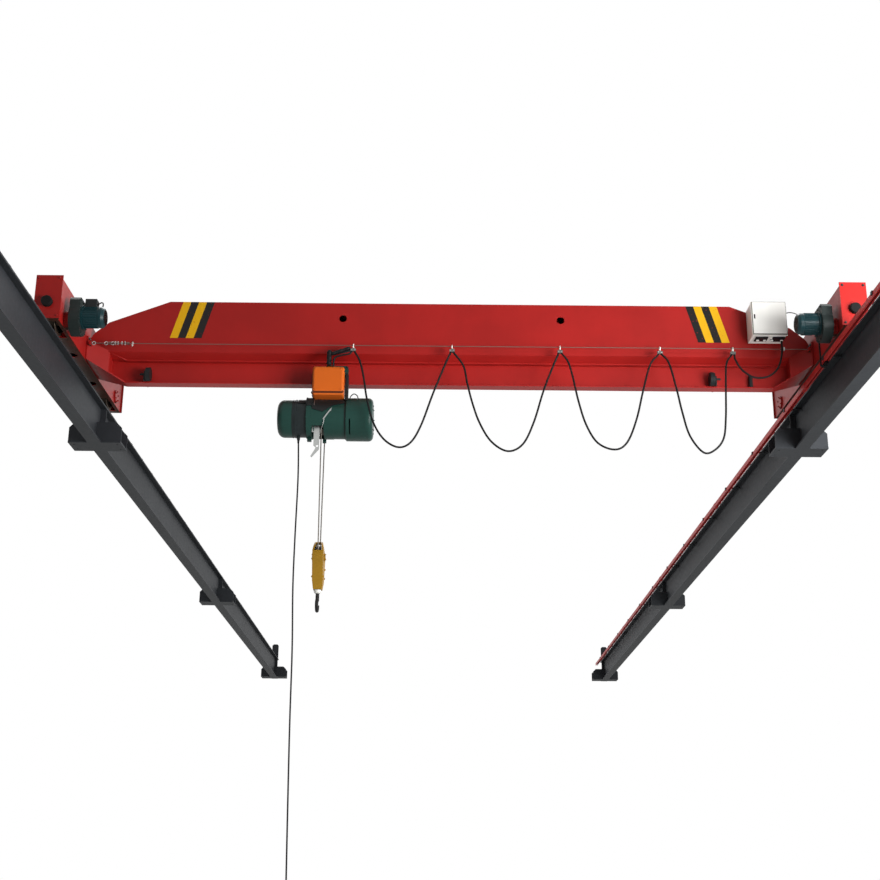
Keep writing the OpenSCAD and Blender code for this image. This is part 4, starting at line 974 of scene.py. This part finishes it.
def laid_rope(top, low):
    """The points and faces of one fall: six-lobed sections that turn along it."""
    top, low = Vector(top), Vector(low)
    length = (low - top).length
    way = (low - top).normalized()
    side = way.orthogonal().normalized()
    other = way.cross(side)
    count = int(length / ROPE_STEP)
    points = []
    for i in range(count + 1):
        middle = top.lerp(low, i / count)
        twist = math.tau * length * i / count / ROPE_LAY
        for a in turns(ROPE_SIDES):
            lobe = abs(math.cos(3 * (a - twist)))
            r = ROPE_R * (1 - LOBE_DEPTH + LOBE_DEPTH * lobe)
            points.append(middle + r * (math.cos(a) * side + math.sin(a) * other))
    return points, tube_faces(count + 1, ROPE_SIDES)


for name, (top, low) in FALLS.items():
    rope = new_piece(name, *laid_rope(top, low), rope_steel, smooth=True)
    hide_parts("hoist_ropes")
    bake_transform(rope)
    print(name, len(rope.data.polygons), "faces")

# %% [markdown]
# Sheet that is rolled round the hoist's axis is a strip of four-sided sections, carried
# round from one angle to another. Zero is straight down and the angle grows towards the
# front. A full turn joins its last section to its first.
# %% Rolled sheet helper
HOIST_Z = 0.022


def rolled(material, slot, name, ends, radii, angles, steps=28):
    """A plate between two X places and two radii, rolled round the hoist's axis."""
    full = angles[1] - angles[0] >= 360
    count = steps if full else steps + 1
    (left, right), (inner, outer) = ends, radii
    points, faces = [], []
    for i in range(count):
        a = math.radians(angles[0] + (angles[1] - angles[0]) * i / steps)
        points += [(x, -r * math.sin(a), HOIST_Z - r * math.cos(a)) for x, r in (
            (left, inner), (right, inner), (right, outer), (left, outer))]
    for i in range(steps):
        faces += belt(4 * ((i + 1) % count), 4 * i, 4)
    if not full:
        faces += [(0, 1, 2, 3), tuple(4 * steps + k for k in (3, 2, 1, 0))]
    fit(new_piece(name, points, faces, material), "trolley")


# %% [markdown]
# The drum's housing has a narrow opening for the rope. A curved cover closes the rest of
# the cut. Rings of flat bar stand where the castings meet, and dark straps of the
# suspension lie over the motor's end and the flange.
# %% Hoist covers and straps
SHEETS = (
    (hoist_paint, "hoist_green", [
        ("rope_opening_cover", (2.499, 2.592), (0.1985, 0.2035), (-21, 56)),
        ("opening_edge_left", (2.396, 2.403), (0.199, 0.204), (-16, 52))]),
    (black_paint, "black_steel", [
        ("housing_seam", (2.7060, 2.7125), (0.199, 0.2065), (-104, 246), 60),
        ("motor_strap", (2.238, 2.322), (0.1875, 0.1945), (128, 232)),
        ("flange_strap", (2.326, 2.378), (0.2062, 0.2145), (112, 248), 36),
        ("strap_lip", (2.318, 2.328), (0.192, 0.2185), (118, 242), 36)]),
    (zinc, "zinc_steel", [("saddle_edge", (2.3995, 2.4045), (0.2092, 0.2118), (114, 146))]),
    (black_paint, "black_steel", [
        ("motor_ring_0", (2.1815, 2.1875), (0.187, 0.1925), (0, 360), 72),
        ("motor_ring_1", (2.316, 2.322), (0.187, 0.1925), (0, 360), 72)]),
)
for material, slot, sheets in SHEETS:
    for sheet in sheets:
        rolled(material, slot, *sheet)
print("sheets", sum(len(sheets) for _, _, sheets in SHEETS))

# %% [markdown]
# Fittings of the trolley and the hoist: nuts on the pins and axles, bolts round the
# flange and the gearbox, a bracket beside the box, and the bent rod of the limit switch.
# %% Trolley and hoist fittings
TROLLEY_X = 2.521
PINS = ((0.092, 0.300, 0.100, 1.25), (0.095, 0.4433, 0.086, 0.9))
BRACKET_BOLTS = ((2.575, 2.715), (0.450, 0.526))
FLANGE_FACE, FLANGE_R = 2.324, 0.1985
GEARBOX_FACE, GEARBOX_R = 2.983, 0.140
LIMIT_ROD = [(2.506, -0.193, -0.044), (2.492, -0.180, -0.098), (2.474, -0.152, -0.142),
             (2.462, -0.122, -0.172), (2.455, -0.113, -0.206)]

trolley_nuts = [spot((TROLLEY_X + u * half, v * face, z), (0, v, 0), size)
                for half, z, face, size in PINS for u in BOTH for v in BOTH]
trolley_nuts += [spot((x, -0.152, z), FRONT, 0.45)
                 for x in BRACKET_BOLTS[0] for z in BRACKET_BOLTS[1]]
repeat("trolley_nuts", "trolley", bolt, trolley_nuts, black_paint)
hoist_bolts = ring_spots((FLANGE_FACE, 0, HOIST_Z), LEFT, FLANGE_R, 14, 0.36)
hoist_bolts += ring_spots((GEARBOX_FACE, 0, HOIST_Z - 0.002), RIGHT, GEARBOX_R, 8, 0.4, 0.3)
repeat("hoist_bolts", "trolley", bolt, hoist_bolts, hoist_paint)
column = rounded_block("drive_bracket", (2.7015, -0.166, 0.172), (2.735, -0.108, 0.444), 0.005,
                       black_paint)
fit(column, "trolley")
fit(cable("limit_rod", LIMIT_ROD, 0.003, bright_steel, 10)[0], "trolley")

# %% [markdown]
# The orange box is a moulded case with a lid in front. It replaces the plain solid of
# the same size. The lid stands proud of a narrow base strip, and its long edges are well
# rounded. A dark strip between lid and base is a painted shadow line.
# %% Orange box
LID_DEEP = 0.060
LID_EDGE = 0.022
LID_SCREW = 0.032

box_low, box_high = (Vector(corner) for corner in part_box("hoist_electric_box"))
lid_foot = box_low.z + LID_EDGE
case = rounded_block("orange_case", box_low + Vector((0.004, 0.010, 0)),
                     box_high - Vector((0.004, 0, 0.006)), 0.020, box_paint, 4)
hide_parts("hoist_electric_box")
lid = rounded_block("orange_lid", (box_low.x, box_low.y, lid_foot),
                    (box_high.x, box_low.y + LID_DEEP, box_high.z), 0.028, box_paint, 6)
# A dark brown strip between the lid's foot and the base strip: a painted shadow line under the
# lid.
lid_shadow_piece = rounded_block("lid_seal", (box_low.x + 0.007, box_low.y + 0.0045, lid_foot - 0.008),
                     (box_high.x - 0.007, box_low.y + LID_DEEP - 0.006, lid_foot + 0.020),
                     0.002, shadow_line_brown)
for piece, slot in ((case, "box_orange"), (lid, "box_orange"), (lid_shadow_piece, "black_rubber")):
    fit(piece, "trolley")
lid_screws = [spot((x, box_low.y, z), FRONT, 1.3)
              for x in (box_low.x + LID_SCREW, box_high.x - LID_SCREW)
              for z in (lid_foot + 0.030, box_high.z - LID_SCREW)]
repeat("lid_screws", "trolley", screw, lid_screws, box_paint, True)

# %% [markdown]
# The tow bar carries more than steel. Spare cable is bound to the post and to the bar in
# black wrapping, which hides the steel and looks lumpy. A tube whose radius swells
# between the bindings gives that, and narrow ties stand where it is drawn in.
# %% Wrapped post and bar
WRAP_SIDES = 16
WRAP_STEPS = 12
LUMPS = 3
LUMP_DEPTH = 0.16
WRAPS = {
    "post_wrap": (0.027, [(2.546, -0.294, 0.488), (2.544, -0.296, 0.540),
                          (2.546, -0.297, 0.600), (2.543, -0.296, 0.652)]),
    "bar_wrap": (0.020, [(2.560, -0.303, 0.606), (2.620, -0.306, 0.628),
                         (2.690, -0.307, 0.652), (2.752, -0.308, 0.676)]),
}
ALONG_BAR = (1, 0, 0.35)


def lumpy_tube(name, radius, route):
    """A tube that swells between its bindings and closes round at both ends."""
    line = smooth_route(route, WRAP_STEPS)
    points, faces = tube_points(line, 1.0, WRAP_SIDES)
    for i, point in enumerate(points):
        middle = line[i // WRAP_SIDES]
        share = i // WRAP_SIDES / (len(line) - 1)
        swell = 1 - LUMP_DEPTH * abs(math.cos(math.pi * LUMPS * share))
        end = min(1.0, 0.45 + 8 * min(share, 1 - share))
        points[i] = middle + (point - middle) * radius * swell * end
    fit(new_piece(name, points, faces, cable_rubber, smooth=True), "trolley")


def clamp_screws(name, body, x):
    """Two screws in the front of the clamp under a ring."""
    places = [spot((x + s * 0.016, -0.313, 0.654), FRONT, 0.8) for s in BOTH]
    repeat(name, body, screw, places, zinc)


for name, wrap in WRAPS.items():
    lumpy_tube(name, *wrap)
tie = turned("tie_pattern", (24, [(0.0225, -0.004), (0.0235, -0.003), (0.0235, 0.003),
                                  (0.0225, 0.004)]))
repeat("wrap_ties", "trolley", tie,
       [spot((2.545, -0.297, 0.542), UP, 1.08), spot((2.545, -0.297, 0.598), UP, 1.08),
        spot((2.624, -0.306, 0.629), ALONG_BAR, 0.8),
        spot((2.690, -0.307, 0.652), ALONG_BAR, 0.8)],
       black_plastic)
clamp_screws("trolley_screws", "trolley", TOW_X)
for number, x in enumerate(CARRIER_X, 1):
    clamp_screws(f"carrier_screws_{number}", f"carrier_{number}", x)

# %% [markdown]
# The pendant's station gets a black bezel round each button, black caps and a red stop
# cap at the top. They sit on the solid station, and ride with the trolley as it does.
# %% Pendant buttons
TOP_BUTTON = Vector((2.298, -0.031, -4.5923))
BUTTON_PITCH = 0.046
BUTTONS = 6

bezel = turned("bezel_pattern", (28, [(0.0190, -0.001), (0.0190, 0.0025), (0.0175, 0.0045),
                                      (0.0135, 0.0045)]))
cap = turned("cap_pattern", (28, [(0.0134, 0.001), (0.0134, 0.0085), (0.0118, 0.0102),
                                  (0.0060, 0.0108)]))
buttons = [spot(TOP_BUTTON - i * BUTTON_PITCH * Vector(UP), FRONT) for i in range(BUTTONS)]
for name, piece, spots, material in (("button_bezels", bezel, buttons, black_plastic),
                                     ("button_caps", cap, buttons[1:], buffer_rubber),
                                     ("stop_cap", cap, buttons[:1], duct_paint)):
    repeat(name, "trolley", piece, spots, material)
declare_cord(pendant, PENDANT, pendant_line, PENDANT_R, "tool",
             with_pieces=[nodes["pendant_station"]])
relief = turned("relief_pattern", (20, [(0.0155, 0), (0.0155, 0.010), (0.012, 0.014),
                                        (0.0095, 0.046)]))
repeat("pendant_relief", "trolley", relief, [spot((2.240, 0, -0.187), DOWN)], black_plastic,
       True)

# %% [markdown]
# The carrier wire is strained at its left end by a turnbuckle. Eyes, rope clips and a
# spare ring sit round it. They are small castings in zinc, bright against the red.
# %% Wire end fittings
WIRE_Z = 0.704
CLIP_X = (0.404, 0.428, 0.470, 0.500)
CLIP_LEAN = 0.25
RING_STEPS = 28
RING_SIDES = 10
RING_WIRE = 0.0045


def ring_piece(name, x, z, radius, stretch, material, across=(0, 1, 0)):
    """A closed ring of round wire that stands square to the across direction."""
    across = Vector(across).normalized()
    up = Vector(UP)
    side = across.cross(up)
    points, faces = [], []
    for i, a in enumerate(turns(RING_STEPS)):
        out = math.cos(a) * side + math.sin(a) * up
        oval = math.cos(a) * side + stretch * math.sin(a) * up
        middle = Vector((x, WIRE_Y, z)) + radius * oval
        points += [middle + RING_WIRE * (math.cos(b) * out + math.sin(b) * across)
                   for b in turns(RING_SIDES)]
        faces += belt(i * RING_SIDES, (i + 1) % RING_STEPS * RING_SIDES, RING_SIDES)
    piece = new_piece(name, points, [face[::-1] for face in faces], material, smooth=True)
    fit(piece, "bridge")


rope_clip = rounded_block("rope_clip_pattern", (-0.007, -0.012, -0.016), (0.007, 0.012, 0.019),
                          0.004)
rope_clips = [spot((x, WIRE_Y, WIRE_Z), (0, CLIP_LEAN * (-1) ** i, 1), 1, RIGHT)
              for i, x in enumerate((*CLIP_X, SPAN - CLIP_X[0], SPAN - CLIP_X[1]))]
repeat("rope_clips", "bridge", rope_clip, rope_clips, zinc)
ring_piece("eye_left", 0.186, WIRE_Z, 0.017, 1.0, zinc)
ring_piece("eye_inner", 0.309, WIRE_Z, 0.016, 1.0, zinc)
ring_piece("eye_thimble", 0.376, WIRE_Z, 0.018, 0.9, zinc)
ring_piece("spare_ring", 0.572, WIRE_Z - 0.006, 0.017, 1.35, white_nylon, across=(1, 0.5, 0))

# %% [markdown]
# The hook block's casing is held by bolts through both cheeks, painted over with it. A
# pale thrust collar sits under the casing, where the hook's shank comes out.
# %% Hook block fittings
CHEEK = 0.052
PIN_FACE = CHEEK + 0.012
CHEEK_BOLTS = ((0.100, -1.500), (-0.055, -1.600), (0.055, -1.600))

block_bolts = [spot((BLOCK_X + s * CHEEK, y, z), (s, 0, 0), 0.55)
               for s in BOTH for y, z in CHEEK_BOLTS]
for s in BOTH:
    block_bolts += ring_spots((BLOCK_X + s * PIN_FACE, 0, SHEAVE_Z), (s, 0, 0), 0.030, 3, 0.35)
repeat("block_bolts", "hook_block", bolt, block_bolts, block_paint)
collar = turned("collar_pattern", (28, [(0.034, 0), (0.0358, 0.003), (0.0358, 0.022),
                                        (0.030, 0.032), (0.019, 0.036)]))
repeat("hook_collar", "hook", collar, [spot((BLOCK_X, 0, -1.7215), DOWN)], white_nylon,
       True)

# %% [markdown]
# The control panel has a lock near its left edge, two hinges on the right, black plates
# under it where the cables come in, and a nut on every gland.
# %% Panel fittings
PANEL_FLOOR = 0.802
LOCK_X, LOCK_Z = 6.790, 1.000
HINGE_Z = (0.880, 1.085)
GLAND_Y = -0.330
GLAND_X = (6.830, 6.900, 6.970, 7.070)
GLAND_PLATE_X = (6.865, 7.035)

panel_low, panel_high = (Vector(corner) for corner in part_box("control_panel"))
face_y = panel_low.y
lock_plate = rounded_block("panel_lock", (LOCK_X - 0.007, face_y - 0.010, LOCK_Z - 0.024),
                           (LOCK_X + 0.007, face_y + 0.002, LOCK_Z + 0.024), 0.004,
                           black_plastic, 3)
door = rounded_block("panel_door", (panel_low.x + 0.012, face_y - 0.007, PANEL_FLOOR + 0.016),
                     (panel_high.x - 0.006, face_y + 0.004, panel_high.z - 0.006), 0.003,
                     panel_paint)
# A grey strip behind the door shows all round it, widest at its left and lower edges: a painted
# shadow line round the door.
door_shadow_piece = rounded_block(
    "panel_door_seal", (panel_low.x + 0.004, face_y - 0.0025, PANEL_FLOOR + 0.004),
    (panel_high.x - 0.002, face_y + 0.004, panel_high.z - 0.002), 0.001, shadow_line_grey)
for piece, slot in ((lock_plate, "black_rubber"), (door, "panel_cream"),
                    (door_shadow_piece, "panel_cream")):
    fit(piece, "bridge")
hinge = turned("hinge_pattern", (16, [(0.006, -0.030), (0.007, -0.029), (0.007, 0.029),
                                      (0.006, 0.030)]))
hinges = [spot((panel_high.x - 0.001, face_y + 0.012, z), UP) for z in HINGE_Z]
repeat("panel_hinges", "bridge", hinge, hinges, zinc)
gland_plate = rounded_block("gland_plate_pattern", (-0.062, -0.052, 0), (0.062, 0.052, 0.010),
                            0.002)
plates = [spot((x, GLAND_Y, PANEL_FLOOR + 0.001), DOWN, 1, RIGHT) for x in GLAND_PLATE_X]
repeat("gland_plates", "bridge", gland_plate, plates, black_plastic)
gland = turned("gland_pattern", (6, [(0.019, 0), (0.019, 0.010)]),
               (18, [(0.015, 0.010), (0.013, 0.021), (0.0105, 0.024)]))
glands = [spot((x, GLAND_Y, PANEL_FLOOR - 0.009), DOWN, (1, 1, 0.5)) for x in GLAND_X]
repeat("gland_nuts", "bridge", gland, glands, black_plastic)

# %% [markdown]
# Where a nut, bolt or clip pattern was used, its own copy at the origin isn't part of
# the crane and is taken away.
# %% Clear the patterns
for obj in [o for o in bpy.data.objects if o.name.endswith("_pattern")]:
    bpy.data.objects.remove(obj)

# %% [markdown]
# The studio is plain: a pale floor at the hall's own floor level, a white surround that
# only cameras and reflections see, and soft lamps. A wide lamp stands low on the right,
# where the hall has its windows, and a weaker one low in front lights the undersides.
# Three soft suns come from above, behind and both sides, for the views from there.
# %% Studio
FLOOR_Z = -6.0
FLOOR_HALF = 150.0
AMBIENT = 0.05
FLOOR_GLOW = 0.75
FLOOR_SHADE = (0.84, 0.84, 0.83)
LAMP_TARGET = Vector((SPAN / 2, 0, 0.5))
# Name, kind, place, side in metres or angle in degrees, and watts or strength.
LAMPS = (
    ("window_lamp", "AREA", (9.5, -6, -1), 4, 1250),
    ("low_lamp", "AREA", (5, -16, -5), 10, 55),
    ("high_sun", "SUN", (3.75, 12, 20), 30, 1.9),
    ("left_sun", "SUN", (-20, 6, 7), 30, 0.5),
    ("right_sun", "SUN", (28, 6, 7), 30, 0.5),
)


def seen_directly(finish):
    """1 for camera, mirror and glass rays, 0 for the rays that gather light."""
    rays = finish.node("ShaderNodeLightPath", output="Is Camera Ray")
    ports = rays.socket.node.outputs
    mirror = Signal(finish, ports["Is Glossy Ray"])
    glass = Signal(finish, ports["Is Transmission Ray"])
    return rays.math("MAXIMUM", mirror).math("MAXIMUM", glass)


class WorldFinish(Finish):
    """The world's node tree, with the same way of adding nodes."""

    def __init__(self):
        world = bpy.data.worlds.new("Studio")
        bpy.context.scene.world = world
        world.use_nodes = True
        self.tree = world.node_tree
        self.shader = self.tree.nodes["Background"]


def make_world():
    """White to the camera and in reflections, a dim grey as light."""
    surround = WorldFinish()
    surround.shader.inputs["Color"].default_value = (1, 1, 1, 1)
    surround.set("Strength", seen_directly(surround) * (1 - AMBIENT) + AMBIENT)


def make_floor():
    """A pale floor: part glow that only cameras see, part plain surface for its shadows."""
    finish = Finish("studio_floor", (0.5, 0.5, 0.49), 0.9)
    glow = finish.node("ShaderNodeEmission", {"Color": FLOOR_SHADE, "Strength": 1.0})
    surface = Signal(finish, finish.shader.outputs[0])
    both = finish.node("ShaderNodeMixShader", {
        0: seen_directly(finish) * FLOOR_GLOW, 1: surface, 2: glow})
    output = finish.tree.nodes["Material Output"]
    finish.tree.links.new(both.socket, output.inputs["Surface"])
    corners = [(x * FLOOR_HALF, y * FLOOR_HALF, FLOOR_Z)
               for x, y in ((-1, -1), (1, -1), (1, 1), (-1, 1))]
    new_piece("studio_floor", corners, [(0, 1, 2, 3)], finish.material)


def make_lamp(name, kind, place, wide, power):
    """An area lamp with its side and watts, or a sun with its angle and strength."""
    data = bpy.data.lights.new(name, kind)
    data.energy = power
    if kind == "AREA":
        data.size = wide
    else:
        data.angle = math.radians(wide)
    lamp = bpy.data.objects.new(name, data)
    lamp.location = place
    lamp.rotation_mode = "QUATERNION"
    lamp.rotation_quaternion = (LAMP_TARGET - Vector(place)).to_track_quat("-Z", "Y")
    bpy.context.scene.collection.objects.link(lamp)


make_world()
make_floor()
for lamp in LAMPS:
    make_lamp(*lamp)
print("lamps", len(LAMPS))

# %% [markdown]
# The finished scene keeps the standard view, so a colour renders as it is written.
# %% Finish
bpy.context.scene.view_settings.view_transform = "Standard"
